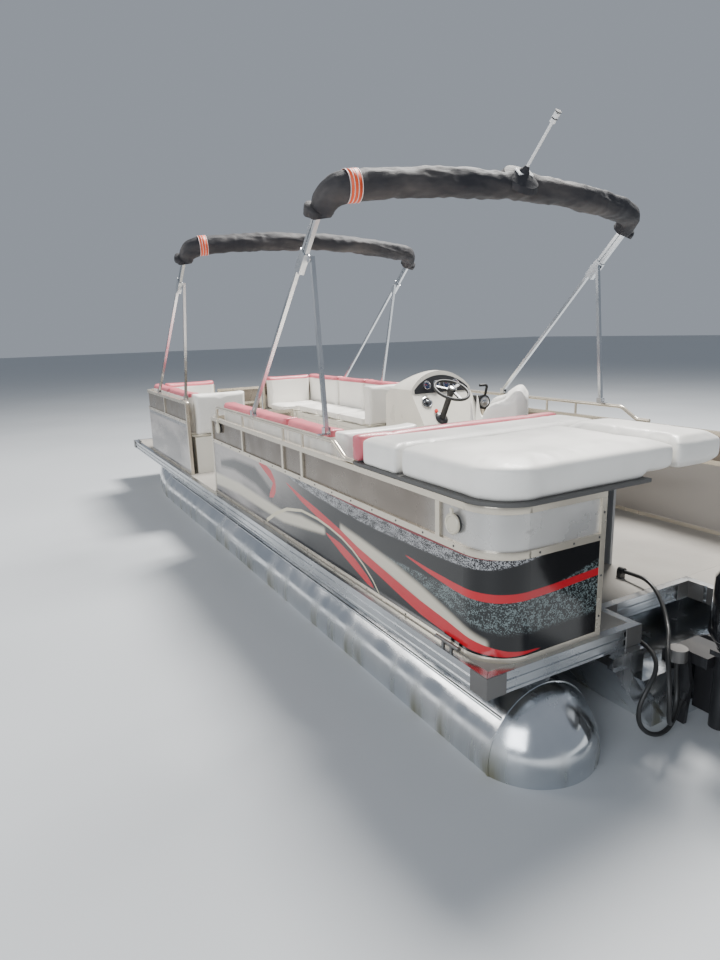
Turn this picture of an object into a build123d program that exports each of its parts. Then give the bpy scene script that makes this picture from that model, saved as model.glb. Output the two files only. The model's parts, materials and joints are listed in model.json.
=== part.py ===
"""Pontoon boat: two aluminium tubes, a motor pod, a railed deck and its furniture.

Millimetres. Z = 0 is the waterline, Y = 0 is amidships, +Y is the bow and +X is starboard.
Places along the boat are measured forward from the deck's aft edge, and heights from the deck.
"""
import os
from math import acos, atan2, cos, degrees, hypot, radians, sin, tan

from build123d import *

os.makedirs("parts", exist_ok=True)

# Overall
deck_length = 7580
deck_beam = 2590
deck_top = 550
deck_thickness = 25
deck_seam = 1
sheet_length = 1220
stern_y = -deck_length / 2
bow_y = deck_length / 2
sides = (("port", -1), ("starboard", 1))
seat_gap = 0.3

# Deck edge extrusion and the notch over the motor
rail_height = 100
rail_thickness = 38
rail_rib = 6
rail_rib_levels = (0, 3, 6)
cap_thickness = 4
cap_leg = 100
well_half_width = 348
well_depth = 218

# Tubes
tube_radius = 318
tube_offset = deck_beam / 2 - 395
tube_axis_z = 44
tube_start = 80
dome_depth = 250
bow_overhang = 1430
nose_start = deck_length - bow_overhang
ring_width = 14
ring_proud = 3
keel_height = 45
keel_thickness = 14
strake_radius = 9
strake_angle = 42
keel_eye_radius = 10
keel_eye_inset = 70

# Motor pod and its transom
pod_top_half = 560
pod_foot_half = 60
pod_cheek = 60
pod_length = 1960
pod_aft = -20
pod_ramp = 420
transom_thickness = 30
transom_margin = 22
transom_top = 300
transom_notch_half = 365
motor_plate_inset = 90
motor_plate_thickness = 36
motor_plate_foot = -150
rim_width = 90
rim_thickness = 14
rim_foot = -200
splash_well = 480

# Framing between the tubes and the deck
member_height = 76
member_width = 40
member_wall = 6
member_first = 330
member_last = 320
member_count = 12
member_pitch = (deck_length - member_first - member_last) / (member_count - 1)
wing_member = 128
riser_width = 150
riser_length = 90

# Fence
fence_margin = 45
fence_half = deck_beam / 2 - fence_margin
fence_tube = 32
fence_corner = 200
fence_stern = 20
foredeck = 830
fence_bow = deck_length - foredeck
fence_trim = 25
fence_mid_aft = 487
fence_top_aft = 700
fence_mid_bow = 545
fence_top_bow = 765
fence_top_round = 30
fence_end_port = 600
fence_end_starboard = 1000
stern_post_x = 520
bow_fence_length = 2020
gate_opening = 850
gate_front_y = fence_bow - bow_fence_length
gate_aft_y = gate_front_y - gate_opening
bow_gate_half = 340
skirt_inset = 2
skirt_thickness = 26
panel_inset = 12
panel_thickness = 12

# Raised handrail
handrail_radius = 14
handrail_height = 810
handrail_front = gate_aft_y - 160
handrail_aft = 1450
handrail_tail = 1200
handrail_dip = 140
handrail_posts = (3050, 2220, 1900)
handrail_post_radius = 10
handrail_front_bend = 50
handrail_dip_bend = 90

# Gates
gate_pivot = 22
gate_clear = 18
gate_floor_gap = 30
gate_skin = 10
hinge_pin = 6
hinge_barrel = 11
running_gap = 0.08
hinge_height = 60
hinge_ear = 8
hinge_ear_gap = 1
hinge_levels = (150, 520)

# Lounges
lounge_wall = fence_half - 85
lounge_depth = 590
lounge_corner = 160
lounge_inner_corner = 40
lounge_bow_gap = 50
lounge_bow_half = 360
base_height = 380
seat_thickness = 90
back_thickness = 130
back_top = 850
end_back_thickness = 135

# Sun pad
pad_port = fence_half + 25
pad_starboard = 220
pad_aft = -25
pad_front = 1190
pad_split = 750
pad_corner = 225
pad_gap = 6
pad_overhang = 20
tray_height = 18
tray_inset = 16
tray_step = 50
tray_step_depth = 200
pad_top = 870
pad_wall = 20
cushion_seam = 1
cushion_inset = 5
bolster_depth = 90
bolster_rise = 10
bay_half = 580
bay_aft = 620

# Helm
console_width = 650
console_right = fence_half - 320
console_left = console_right - console_width
console_aft = 2700
console_length = 630
console_front = console_aft + console_length
console_kick = 60
dash_height = 850
dash_foot = 600
dash_run = 190
hood_side = 890
hood_height = 1045
hood_run = 250
hood_flat = 80
hood_drop = 60
dash_margin = 32
dash_thickness = 6
gauge_radius = 38
gauge_pitch = 105
gauge_rise = 75
gauge_count = 4
radio_radius = 50
radio_from_side = 90
radio_drop = 70
wheel_from_side = 207
wheel_reach = 110
wheel_height = 900
wheel_radius = 152
wheel_rim = 13
wheel_tilt = 62
wheel_hub = 38
hub_length = 40
column_radius = 26
spoke_width = 30
spoke_thickness = 12
spoke_count = 3
lever_base = (75, 110, 110)
lever_disc_radius = 66
lever_disc_depth = 24
lever_height = 750
lever_radius = 12
lever_rise = 150
lever_lean = 40
lever_grip = 75

# Helm chair, turned to port
chair_turn = 45
chair_from_wheel = 540
chair_width = 540
chair_depth = 500
chair_seat = 440
chair_cushion = 110
chair_back_thickness = 130
chair_back_knee = 470
chair_arm_length = 430
chair_arm_knee = 120
chair_arm_width = 70
chair_plate = 30
chair_plate_margin = 40
pedestal_radius = 60
pedestal_foot_radius = 180
pedestal_foot = 12
spigot_radius = 20

# Folded awnings: each bow of tubes leans aft and rests on a strut near its bracket
awning_half = fence_half - fence_tube / 2
awning_tube = 25
awning_bend = 170
awning_crown = 175
crown_radius = 6000
awning_sleeve = 85
sleeve_drop = 30
splice_drop = 60
bundle_pitch = 33
strut_inset = 38
foot_pivot = 30
foot_cheek = 6
foot_gap = 1
foot_length = 44
awning_pin = 5
leg_heel = 12
bracket_reach = 70
bracket_plate = 6
# name, leg foot, seat height, corner's place and height, strut foot, strut top
awnings = (
    ("aft", 2780, handrail_height, (1445, 2180), 1620, (1715, 1838)),
    ("forward", 5940, fence_top_bow, (4278, 2213), 4900, (4590, 1900)),
)

# Outboard, its heights measured from the waterline
tilt_y = -50
tilt_z = 350
steer_y = -230
clamp_half = 130
clamp_plate = 24
clamp_foot_z = -60
tilt_tube_radius = 18
tilt_tube_reach = 30
swivel_half = 95
swivel_web = 30
swivel_foot_z = -100
swivel_tube_radius = 45
steer_shaft_radius = 28
leg_bottom = -300
yoke_gap = 10
yoke_thickness = 30
gearcase_radius = 55
gearcase_centre = 170
gearcase_tail = 160
propeller_radius = 175
propeller_clear = 20
gearcase_z = leg_bottom - propeller_radius - propeller_clear
skeg_depth = 190
skeg_thickness = 12
hub_length_aft = 130
propeller_shaft_radius = 14
blade_count = 3
cowl_top = 960
cowl_bottom = 430
cowl_half = 205
cowl_front = -205
cowl_length = 640
cowl_corner = 110

# Rigging fitting on the clamp, and the hoses that loop down to it
fitting_radius = 45
fitting_height = 62
fitting_z = 360
fitting_x = -185
fitting_y = -105
hose_diameter = 22
hose_bend = 0.45
gland_radius = 19

# Cleats, panel fittings and the all-round light
cleat_inset = 19
cleat_end = 300
cleat_radius = 9
cleat_length = 170
cleat_height = 28
cleat_post = 30
cap_ring_radius = 42
cap_ring_depth = 16
# Panel fittings on the port side: place and height
panel_fitting_places = ((289, 590), (3645, 620))
light_x = 30
light_base = (110, 60, 14)
light_radius = 9
light_length = 300
lens_radius = 18
lens_length = 55


def fore(from_stern):
    """Y of a place measured forward from the deck's aft edge."""
    return stern_y + from_stern


def up(above_deck):
    """Z of a height measured from the deck."""
    return deck_top + above_deck


def athwart(x, y, z):
    """Sketch plane across the boat: its X is starboard, its Y is up and it faces aft."""
    return Plane(origin=(x, y, z), x_dir=(1, 0, 0), z_dir=(0, -1, 0))


def lengthwise(x, y=0.0, z=0.0):
    """Sketch plane along the boat: its X is forward, its Y is up and it faces starboard."""
    return Plane(origin=(x, y, z), x_dir=(0, 1, 0), z_dir=(1, 0, 0))


def save(part, name):
    part.label = name
    export_step(part, f"parts/{name}.step")


def block(x_range, y_range, z_range, mode=Mode.ADD):
    """A box given by its two ends along each axis."""
    (x0, x1), (y0, y1), (z0, z1) = x_range, y_range, z_range
    with Locations(((x0 + x1) / 2, (y0 + y1) / 2, (z0 + z1) / 2)):
        Box(abs(x1 - x0), abs(y1 - y0), abs(z1 - z0), mode=mode)


def deck_outline(grow=0.0):
    """Corners of the deck's plan with its motor notch, moved outward by grow."""
    half, notch = deck_beam / 2 + grow, well_half_width - grow
    aft, front, inner = stern_y - grow, bow_y + grow, fore(well_depth) - grow
    return [
        (-half, aft), (-notch, aft), (-notch, inner), (notch, inner),
        (notch, aft), (half, aft), (half, front), (-half, front),
    ]


def deck_face(grow=0.0, mode=Mode.ADD):
    Polygon(*deck_outline(grow), align=None, mode=mode)


def wall_plan(sign, run, y_face, y_end, x_end, inset, thickness):
    """Plan of a wall in three lengths: along one side, round a corner and inboard.

    sign is the side, run is +1 at the stern and -1 at the bow.
    """
    radius = fence_corner - inset
    inner = radius - thickness
    x_out, y_out = sign * (fence_half - inset), y_face + run * inset
    x_in, y_in = x_out - sign * thickness, y_out + run * thickness
    centre_x, centre_y = x_out - sign * radius, y_out + run * radius

    def on_corner(r):
        return (centre_x + sign * r * sin(radians(45)), centre_y - run * r * cos(radians(45)))

    with BuildLine() as outline:
        ThreePointArc((x_out, centre_y), on_corner(radius), (centre_x, y_out))
        Line((centre_x, y_out), (centre_x, y_in))
        ThreePointArc((centre_x, y_in), on_corner(inner), (x_in, centre_y))
        Line((x_in, centre_y), (x_out, centre_y))
    make_face(outline.edges())
    side_start, end_start = centre_y + run * seat_gap, centre_x - sign * seat_gap
    Polygon((x_out, side_start), (x_out, y_end), (x_in, y_end), (x_in, side_start), align=None)
    Polygon((end_start, y_out), (x_end, y_out), (x_end, y_in), (end_start, y_in), align=None)


def tube_run(points, bends, radius):
    """A round tube along straight runs joined by arcs."""
    with BuildLine() as route:
        FilletPolyline(*points, radius=bends)
    start = Plane(origin=route.line @ 0, z_dir=route.line % 0)
    with BuildSketch(start) as section:
        Circle(radius)
    sweep(section.sketch, path=route.line)


# Tubes: barrel, domed aft end, swept nose, weld ring, keel strip and side strake
dome_sphere = (tube_radius**2 + dome_depth**2) / (2 * dome_depth)
dome_half_angle = acos((dome_sphere - dome_depth) / dome_sphere) / 2
# Nose sections: distance forward of the barrel, radius, rise of the centre
nose_sections = ((0, tube_radius, 0), (700, 240, 66), (1240, 70, 210))
for side, sign in sides:
    centre_x = sign * tube_offset
    with BuildPart() as pontoon:
        with BuildSketch(lengthwise(centre_x, fore(tube_start), tube_axis_z)):
            with BuildLine():
                ThreePointArc(
                    (-dome_depth, 0),
                    (dome_sphere * (1 - cos(dome_half_angle)) - dome_depth,
                     dome_sphere * sin(dome_half_angle)),
                    (0, tube_radius),
                )
                Line((0, tube_radius), (nose_start - tube_start, tube_radius))
                Line((nose_start - tube_start, tube_radius), (nose_start - tube_start, 0))
                Line((nose_start - tube_start, 0), (-dome_depth, 0))
            make_face()
        revolve(axis=Axis((centre_x, 0, tube_axis_z), (0, 1, 0)))
        for along, radius, rise in nose_sections:
            with BuildSketch(athwart(centre_x, fore(nose_start + along), tube_axis_z + rise)):
                Circle(radius)
        loft()
        with Locations((centre_x, fore(tube_start), tube_axis_z)):
            Cylinder(tube_radius + ring_proud, ring_width, rotation=(90, 0, 0))
        block(
            (centre_x - keel_thickness / 2, centre_x + keel_thickness / 2),
            (fore(tube_start + ring_width), fore(nose_start)),
            (tube_axis_z - tube_radius - keel_height, tube_axis_z),
        )
        for y in (fore(tube_start + ring_width + keel_eye_inset),
                  fore(nose_start - keel_eye_inset)):
            with Locations((centre_x, y, tube_axis_z - tube_radius - keel_height / 2)):
                Cylinder(keel_eye_radius, 2 * keel_thickness, rotation=(0, 90, 0),
                         mode=Mode.SUBTRACT)
        strake_x = centre_x + sign * tube_radius * cos(radians(strake_angle))
        strake_z = tube_axis_z + tube_radius * sin(radians(strake_angle))
        with Locations((strake_x, fore((tube_start + nose_start) / 2), strake_z)):
            Cylinder(strake_radius, nose_start - tube_start, rotation=(90, 0, 0))
    save(pontoon.part, f"pontoon_{side}")

# Motor pod: vee-bottomed box under the stern, open above the motor's notch
member_top = deck_top - deck_thickness
member_bottom = member_top - member_height
pod_bottom = tube_axis_z - tube_radius


pod_shoulder = member_bottom - pod_cheek
pod_slope = (pod_top_half - pod_foot_half) / (pod_shoulder - pod_bottom)


def pod_half(height, grow=0.0):
    """Half width of the pod's sloping sides at a height, moved outward by grow."""
    return pod_foot_half + grow + pod_slope * (height - pod_bottom)


def pod_outline(grow=0.0):
    """Corners of the pod's section, its sides moved outward by grow."""
    heights = (member_bottom, pod_shoulder, pod_bottom)
    halves = (pod_half(pod_shoulder, grow), pod_half(pod_shoulder, grow), pod_half(pod_bottom, grow))
    port = [(-half, height) for half, height in zip(halves, heights)]
    return port + [(-x, height) for x, height in reversed(port)]


with BuildPart() as motor_pod:
    with BuildSketch(athwart(0, fore(pod_aft), 0)):
        Polygon(*pod_outline(), align=None)
    extrude(amount=-pod_length)
    block(
        (-transom_notch_half, transom_notch_half),
        (fore(pod_aft), fore(splash_well)),
        (transom_top, member_bottom),
        mode=Mode.SUBTRACT,
    )
    with BuildSketch(lengthwise(-pod_top_half)):
        ramp_end = fore(pod_aft + pod_length)
        Polygon(
            (ramp_end, pod_bottom), (ramp_end, pod_bottom + pod_ramp),
            (ramp_end - pod_ramp, pod_bottom), align=None,
        )
    extrude(amount=2 * pod_top_half, mode=Mode.SUBTRACT)
save(motor_pod.part, "motor_pod")

# Transom: plate a little wider than the pod, a rim down each side and a thick motor plate
with BuildPart() as transom:
    with BuildSketch(athwart(0, fore(pod_aft), 0)):
        Polygon(*pod_outline(transom_margin), align=None)
    extrude(amount=transom_thickness)
    block(
        (-transom_notch_half, transom_notch_half),
        (fore(pod_aft), fore(pod_aft) - transom_thickness),
        (transom_top, member_bottom),
        mode=Mode.SUBTRACT,
    )
    transom_face = athwart(0, fore(pod_aft) - transom_thickness, 0)
    with BuildSketch(transom_face):
        top_half = pod_half(transom_top, -motor_plate_inset)
        foot_half = pod_half(motor_plate_foot, -motor_plate_inset)
        Polygon((-top_half, transom_top), (-foot_half, motor_plate_foot),
                (foot_half, motor_plate_foot), (top_half, transom_top), align=None)
    extrude(amount=motor_plate_thickness)
    for side, sign in sides:
        rim_top_x = sign * pod_half(pod_shoulder, transom_margin)
        rim_foot_x = sign * pod_half(rim_foot, transom_margin)
        with BuildSketch(transom_face):
            Polygon((rim_top_x, pod_shoulder), (rim_foot_x, rim_foot),
                    (rim_foot_x - sign * rim_width, rim_foot),
                    (rim_top_x - sign * rim_width, pod_shoulder), align=None)
        extrude(amount=rim_thickness)
save(transom.part, "transom")

# Cross-members and the risers that seat them on the tubes
member_places = [fore(member_first + i * member_pitch) for i in range(member_count)]
member_half = deck_beam / 2 - rail_thickness
wing_y = fore(wing_member)
with BuildPart() as framing:
    for y in member_places:
        block((-member_half, member_half), (y, y + member_width), (member_bottom, member_top))
        block(
            (-member_half, member_half),
            (y, y + member_width - member_wall),
            (member_bottom + member_wall, member_top - member_wall),
            mode=Mode.SUBTRACT,
        )
    for side, sign in sides:
        block(
            (sign * (well_half_width + rail_thickness), sign * member_half),
            (wing_y, wing_y + member_width),
            (member_bottom, member_top),
        )
save(framing.part, "cross_members")

with BuildPart() as risers:
    for side, sign in sides:
        for y in [place for place in member_places if place < fore(nose_start)] + [wing_y]:
            block(
                (sign * tube_offset - riser_width / 2, sign * tube_offset + riser_width / 2),
                (y - (riser_length - member_width) / 2, y + (riser_length + member_width) / 2),
                (tube_axis_z + tube_radius / 2, member_bottom),
            )
    for side, sign in sides:
        with Locations((sign * tube_offset, 0, tube_axis_z)):
            Cylinder(tube_radius + seat_gap, deck_length, rotation=(90, 0, 0),
                     mode=Mode.SUBTRACT)
save(risers.part, "tube_risers")

# Deck in sheets laid across the boat, inside its edge extrusion
with BuildPart() as deck:
    with BuildSketch(Plane.XY.offset(member_top)):
        deck_face(-rail_thickness)
    extrude(amount=deck_thickness)
    seam_y = fore(well_depth + rail_thickness)
    while seam_y < bow_y - rail_thickness:
        block((-deck_beam, deck_beam), (seam_y, seam_y + deck_seam), (member_top, deck_top),
              mode=Mode.SUBTRACT)
        seam_y += sheet_length
save(deck.part, "deck")

# The extrusion's lengths meet in mitres at the corners
rail_bottom = deck_top - rail_height
with BuildPart() as deck_rail:
    with BuildSketch(Plane.XY.offset(rail_bottom)):
        deck_face()
        deck_face(-rail_thickness, mode=Mode.SUBTRACT)
    extrude(amount=rail_height)
    rib_height = rail_height / 7
    for level in rail_rib_levels:
        with BuildSketch(Plane.XY.offset(rail_bottom + level * rib_height)):
            deck_face(rail_rib)
            deck_face(-rail_thickness / 2, mode=Mode.SUBTRACT)
        extrude(amount=rib_height)
    for (x0, y0), (x1, y1) in zip(deck_outline(2 * rail_rib), deck_outline(-2 * rail_thickness)):
        mitre = Location(
            ((x0 + x1) / 2, (y0 + y1) / 2, deck_top - rail_height / 2),
            (0, 0, degrees(atan2(y1 - y0, x1 - x0))),
        )
        with Locations(mitre):
            Box(hypot(x1 - x0, y1 - y0), seat_gap, 2 * rail_height, mode=Mode.SUBTRACT)
save(deck_rail.part, "deck_rail")

with BuildPart() as caps:
    with BuildSketch(Plane.XY.offset(rail_bottom)):
        deck_face(rail_rib + cap_thickness)
        deck_face(rail_rib, mode=Mode.SUBTRACT)
    extrude(amount=rail_height)
    with BuildPart(mode=Mode.PRIVATE) as corners:
        with Locations(*[(x, y, deck_top) for x, y in deck_outline()]):
            Box(2 * cap_leg, 2 * cap_leg, 4 * rail_height)
    add(corners.part, mode=Mode.INTERSECT)
save(caps.part, "rail_caps")

# Fence: one row for each run, heights above the deck, posts measured from the stern
# sign, run, corner face, side end, inboard end, mid rail, top rail, upper posts
fence_runs = (
    (-1, 1, fence_stern, gate_aft_y, fence_end_port, fence_mid_aft, fence_top_aft,
     handrail_posts + (411,)),
    (-1, -1, fence_bow, gate_front_y, bow_gate_half, fence_mid_bow, fence_top_bow,
     (gate_front_y + 970,)),
    (1, 1, fence_stern, gate_front_y - seat_gap, fence_end_starboard, fence_mid_aft,
     fence_top_aft, (gate_aft_y,) + handrail_posts + (411,)),
    (1, -1, fence_bow, gate_front_y, bow_gate_half, fence_mid_bow, fence_top_bow,
     (gate_front_y + 970,)),
)
half_tube = fence_tube / 2


def fence_posts(run, sign, side_end, end_x, face, posts):
    """Plan ranges of a run's end posts and of its upper posts."""
    x_range = (sign * fence_half, sign * (fence_half - fence_tube))
    end_y, face_y = fore(side_end), fore(face)
    ends = [
        (x_range, (end_y, end_y - run * fence_tube)),
        ((sign * end_x, sign * (end_x + fence_tube)), (face_y, face_y + run * fence_tube)),
    ]
    return ends, [(x_range, (fore(y) - half_tube, fore(y) + half_tube)) for y in posts]


with BuildPart() as fence_frame:
    for sign, run, face, side_end, end_x, mid, top, posts in fence_runs:
        levels = ((0, fence_trim), (mid - half_tube, mid + half_tube), (top - fence_tube, top))
        for low, high in levels:
            with BuildSketch(Plane.XY.offset(up(low))):
                wall_plan(sign, run, fore(face), fore(side_end), sign * end_x, 0, fence_tube)
            extrude(amount=high - low)
        rail_ends = (
            fence_frame.edges()
            .filter_by(Axis.X)
            .filter_by_position(Axis.Z, up(top) - seat_gap, up(top) + seat_gap)
            .filter_by_position(Axis.Y, fore(side_end) - seat_gap / 2, fore(side_end) + seat_gap / 2)
            .sort_by(Axis.X)
        )
        fillet(rail_ends[0] if sign < 0 else rail_ends[-1], fence_top_round)
        end_posts, upper_posts = fence_posts(run, sign, side_end, end_x, face, posts)
        lower = (up(fence_trim) + seat_gap, up(mid) - half_tube - seat_gap)
        upper = (up(mid) + half_tube + seat_gap, up(top) - fence_tube - seat_gap)
        for x_range, y_range in end_posts:
            block(x_range, y_range, lower)
        for x_range, y_range in end_posts + upper_posts:
            block(x_range, y_range, upper)
    block((stern_post_x, stern_post_x + fence_tube),
          (fore(fence_stern), fore(fence_stern) + fence_tube), (up(0), up(fence_top_aft)))
save(fence_frame.part, "fence_frame")

with BuildPart() as skirts:
    for sign, run, face, side_end, end_x, mid, top, posts in fence_runs:
        with BuildSketch(Plane.XY.offset(up(fence_trim))):
            wall_plan(sign, run, fore(face), fore(side_end) - run * fence_tube,
                      sign * (end_x + fence_tube), skirt_inset, skirt_thickness)
        extrude(amount=mid - half_tube - fence_trim)
save(skirts.part, "fence_skirts")

with BuildPart() as panels:
    for sign, run, face, side_end, end_x, mid, top, posts in fence_runs:
        with BuildSketch(Plane.XY.offset(up(mid) + half_tube)):
            wall_plan(sign, run, fore(face), fore(side_end) - run * fence_tube,
                      sign * (end_x + fence_tube), panel_inset, panel_thickness)
        extrude(amount=top - mid - fence_tube - half_tube)
        _, upper_posts = fence_posts(run, sign, side_end, end_x, face, posts)
        for x_range, y_range in upper_posts:
            block(x_range, y_range, (up(mid), up(top)), mode=Mode.SUBTRACT)
save(panels.part, "fence_panels")

# Raised handrails on the aft runs of the fence
rail_x = fence_half - half_tube
with BuildPart() as handrails:
    rail_z = up(handrail_height) - handrail_radius
    seat_z = up(fence_top_aft)
    for side, sign in sides:
        x = sign * rail_x
        tube_run(
            [
                (x, fore(handrail_front), seat_z),
                (x, fore(handrail_front), rail_z),
                (x, fore(handrail_aft), rail_z),
                (x, fore(handrail_aft - handrail_dip), seat_z + handrail_radius),
                (x, fore(handrail_tail), seat_z + handrail_radius),
            ],
            (handrail_front_bend, handrail_dip_bend, handrail_dip_bend),
            handrail_radius,
        )
        for post in handrail_posts:
            with Locations((x, fore(post), (seat_z + rail_z) / 2)):
                Cylinder(handrail_post_radius, rail_z - seat_z)
save(handrails.part, "handrails")

# Gates: frame and skin, each on two barrels round pins that stand on the fence's post
# name, pivot x and y, direction across the opening, direction to the post, width
gates = (
    ("port", (-rail_x, fore(gate_aft_y) + gate_pivot), (1, 0), (0, -1),
     gate_opening - 2 * gate_pivot),
    ("bow", (gate_pivot - bow_gate_half, fore(fence_bow) - half_tube), (1, 0), (-1, 0),
     2 * bow_gate_half - 2 * gate_pivot),
    ("stern", (fence_end_starboard - gate_pivot, fore(fence_stern) + half_tube), (-1, 0), (1, 0),
     fence_end_starboard - stern_post_x - fence_tube - 2 * gate_pivot),
)


def gate_box(pivot, way, along, across, levels):
    """A box placed from a gate's pivot: along the gate, across it and above the deck."""
    (px, py), (wx, wy) = pivot, way
    nx, ny = -wy, wx
    xs = (px + along[0] * wx + across[0] * nx, px + along[1] * wx + across[1] * nx)
    ys = (py + along[0] * wy + across[0] * ny, py + along[1] * wy + across[1] * ny)
    block(xs, ys, (up(levels[0]), up(levels[1])))


for name, pivot, way, post_way, width in gates:
    mid, top, foot = fence_mid_aft, fence_top_aft, gate_floor_gap
    with BuildPart() as gate_frame:
        for low, high in ((foot, foot + fence_tube), (mid - half_tube, mid + half_tube),
                          (top - fence_tube, top)):
            gate_box(pivot, way, (gate_clear, width), (-half_tube, half_tube), (low, high))
        for a, b in ((gate_clear, gate_clear + fence_tube), (width - fence_tube, width)):
            gate_box(pivot, way, (a, b), (-half_tube, half_tube), (foot, top))
        for level in hinge_levels:
            gate_box(pivot, way, (0, gate_clear), (-hinge_barrel / 2, hinge_barrel / 2),
                     (level, level + hinge_height))
            with Locations((*pivot, up(level + hinge_height / 2))):
                Cylinder(hinge_barrel, hinge_height)
                Cylinder(hinge_pin + running_gap, hinge_height, mode=Mode.SUBTRACT)
    save(gate_frame.part, f"gate_{name}_frame")
    with BuildPart() as skin:
        inside = (gate_clear + fence_tube, width - fence_tube)
        gate_box(pivot, way, inside, (-gate_skin, gate_skin), (foot + fence_tube, mid - half_tube))
        gate_box(pivot, way, inside, (-gate_skin / 2, gate_skin / 2),
                 (mid + half_tube, top - fence_tube))
    save(skin.part, f"gate_{name}_skin")

with BuildPart() as hinges:
    for name, pivot, way, post_way, width in gates:
        for level in hinge_levels:
            low = level - hinge_ear_gap - hinge_ear
            high = level + hinge_height + hinge_ear_gap
            for ear in (low, high):
                gate_box(pivot, post_way, (-hinge_barrel, gate_pivot),
                         (-hinge_barrel, hinge_barrel), (ear, ear + hinge_ear))
            with Locations((*pivot, up((low + high + hinge_ear) / 2))):
                Cylinder(hinge_pin, high + hinge_ear - low)
save(hinges.part, "gate_hinges")

# Lounges: moulded bases, seats and backs; the L-shaped ones follow their bow corner
# side, aft end, front end, inboard end at the bow or None where it is straight
lounges = (
    (-1, gate_front_y + 35, fence_bow - lounge_bow_gap, lounge_bow_half),
    (1, gate_aft_y + 320, fence_bow - lounge_bow_gap, lounge_bow_half),
    (-1, 1500, gate_aft_y - 100, None),
)


def lounge_plan(sign, aft_end, front_end, end_x, depth, outer=0.0):
    """Plan of a lounge: along the side, and inboard along the bow where end_x is given."""
    wall, inner = sign * (lounge_wall - outer), sign * (lounge_wall - depth)
    aft_y, front_y = fore(aft_end), fore(front_end - outer)
    if end_x is None:
        points = [(wall, aft_y), (wall, front_y), (inner, front_y), (inner, aft_y)]
    else:
        bow_inner = fore(front_end) - depth
        points = [(wall, aft_y), (wall, front_y), (sign * end_x, front_y),
                  (sign * end_x, bow_inner), (inner, bow_inner), (inner, aft_y)]
    face = Polygon(*points, align=None)
    if end_x is not None:
        corner = face.vertices().sort_by_distance((wall, front_y))[0]
        fillet(corner, max(lounge_corner - outer, lounge_inner_corner))


seat_bottom = base_height + seat_gap
with BuildPart() as lounge_bases:
    for sign, aft_end, front_end, end_x in lounges:
        with BuildSketch(Plane.XY.offset(up(0))):
            lounge_plan(sign, aft_end, front_end, end_x, lounge_depth)
        extrude(amount=base_height)
save(lounge_bases.part, "lounge_bases")

with BuildPart() as lounge_seats:
    for sign, aft_end, front_end, end_x in lounges:
        with BuildSketch(Plane.XY.offset(up(seat_bottom))):
            lounge_plan(sign, aft_end + end_back_thickness, front_end, end_x, lounge_depth,
                        back_thickness)
        extrude(amount=seat_thickness)
save(lounge_seats.part, "lounge_seats")

with BuildPart() as lounge_backs:
    for sign, aft_end, front_end, end_x in lounges:
        with BuildSketch(Plane.XY.offset(up(seat_bottom))):
            lounge_plan(sign, aft_end + end_back_thickness, front_end, end_x,
                        back_thickness - seat_gap)
            with Locations((sign * (lounge_wall - lounge_depth / 2),
                            fore(aft_end + (end_back_thickness - seat_gap) / 2))):
                Rectangle(lounge_depth, end_back_thickness - seat_gap)
        extrude(amount=back_top - seat_bottom)
save(lounge_backs.part, "lounge_backs")

# Sun pad over the stern: storage walls, a tray, two deep cushions over it and a front bolster
tray_bottom = fence_top_aft + pad_gap
tray_top = tray_bottom + tray_height
cushion_bottom = up(tray_top) + seat_gap


def pad_plan(front, aft, inset=0.0):
    """Plan of the pad between two places, its port stern corner round."""
    left, right = -(pad_port - inset), pad_starboard - inset
    face = Polygon(
        (left, fore(aft)), (right, fore(aft)), (right, fore(front)), (left, fore(front)),
        align=None,
    )
    if aft < fence_stern + pad_corner:
        fillet(face.vertices().sort_by_distance((left, fore(aft)))[0], pad_corner - inset)


def cut_step():
    """The pad's underside rises over the motor's notch."""
    block((-well_half_width, pad_starboard), (fore(pad_aft), fore(pad_aft + tray_step_depth)),
          (up(tray_bottom), up(tray_bottom + tray_step)), mode=Mode.SUBTRACT)


with BuildPart() as pad_base:
    inner_wall = fence_half - fence_tube - seat_gap
    front_y = fore(pad_front - pad_overhang)
    right = pad_starboard - pad_overhang
    wall_front = front_y - pad_wall - seat_gap
    block((-inner_wall, right), (front_y - pad_wall, front_y), (up(0), up(tray_bottom)))
    block((right - pad_wall, right), (fore(bay_aft), wall_front), (up(0), up(tray_bottom)))
    block((-bay_half - pad_wall, -bay_half),
          (fore(fence_stern + fence_tube) + seat_gap, wall_front), (up(0), up(tray_bottom)))
save(pad_base.part, "sun_pad_base")

with BuildPart() as pad_tray:
    with BuildSketch(Plane.XY.offset(up(tray_bottom))):
        pad_plan(pad_front - tray_inset, pad_aft + tray_inset, tray_inset)
    extrude(amount=tray_height)
    cut_step()
save(pad_tray.part, "sun_pad_tray")

with BuildPart() as pad_cushions:
    for front, aft in ((pad_split - cushion_seam, pad_aft + cushion_inset),
                       (pad_front - bolster_depth - cushion_seam, pad_split + cushion_seam)):
        with BuildSketch(Plane.XY.offset(cushion_bottom)):
            pad_plan(front, aft, cushion_inset)
        extrude(amount=up(pad_top) - cushion_bottom)
    cut_step()
save(pad_cushions.part, "sun_pad_cushions")

with BuildPart() as bolster:
    with BuildSketch(Plane.XY.offset(cushion_bottom)):
        pad_plan(pad_front, pad_front - bolster_depth, cushion_inset)
    extrude(amount=up(pad_top + bolster_rise) - cushion_bottom)
save(bolster.part, "sun_pad_bolster")

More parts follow.
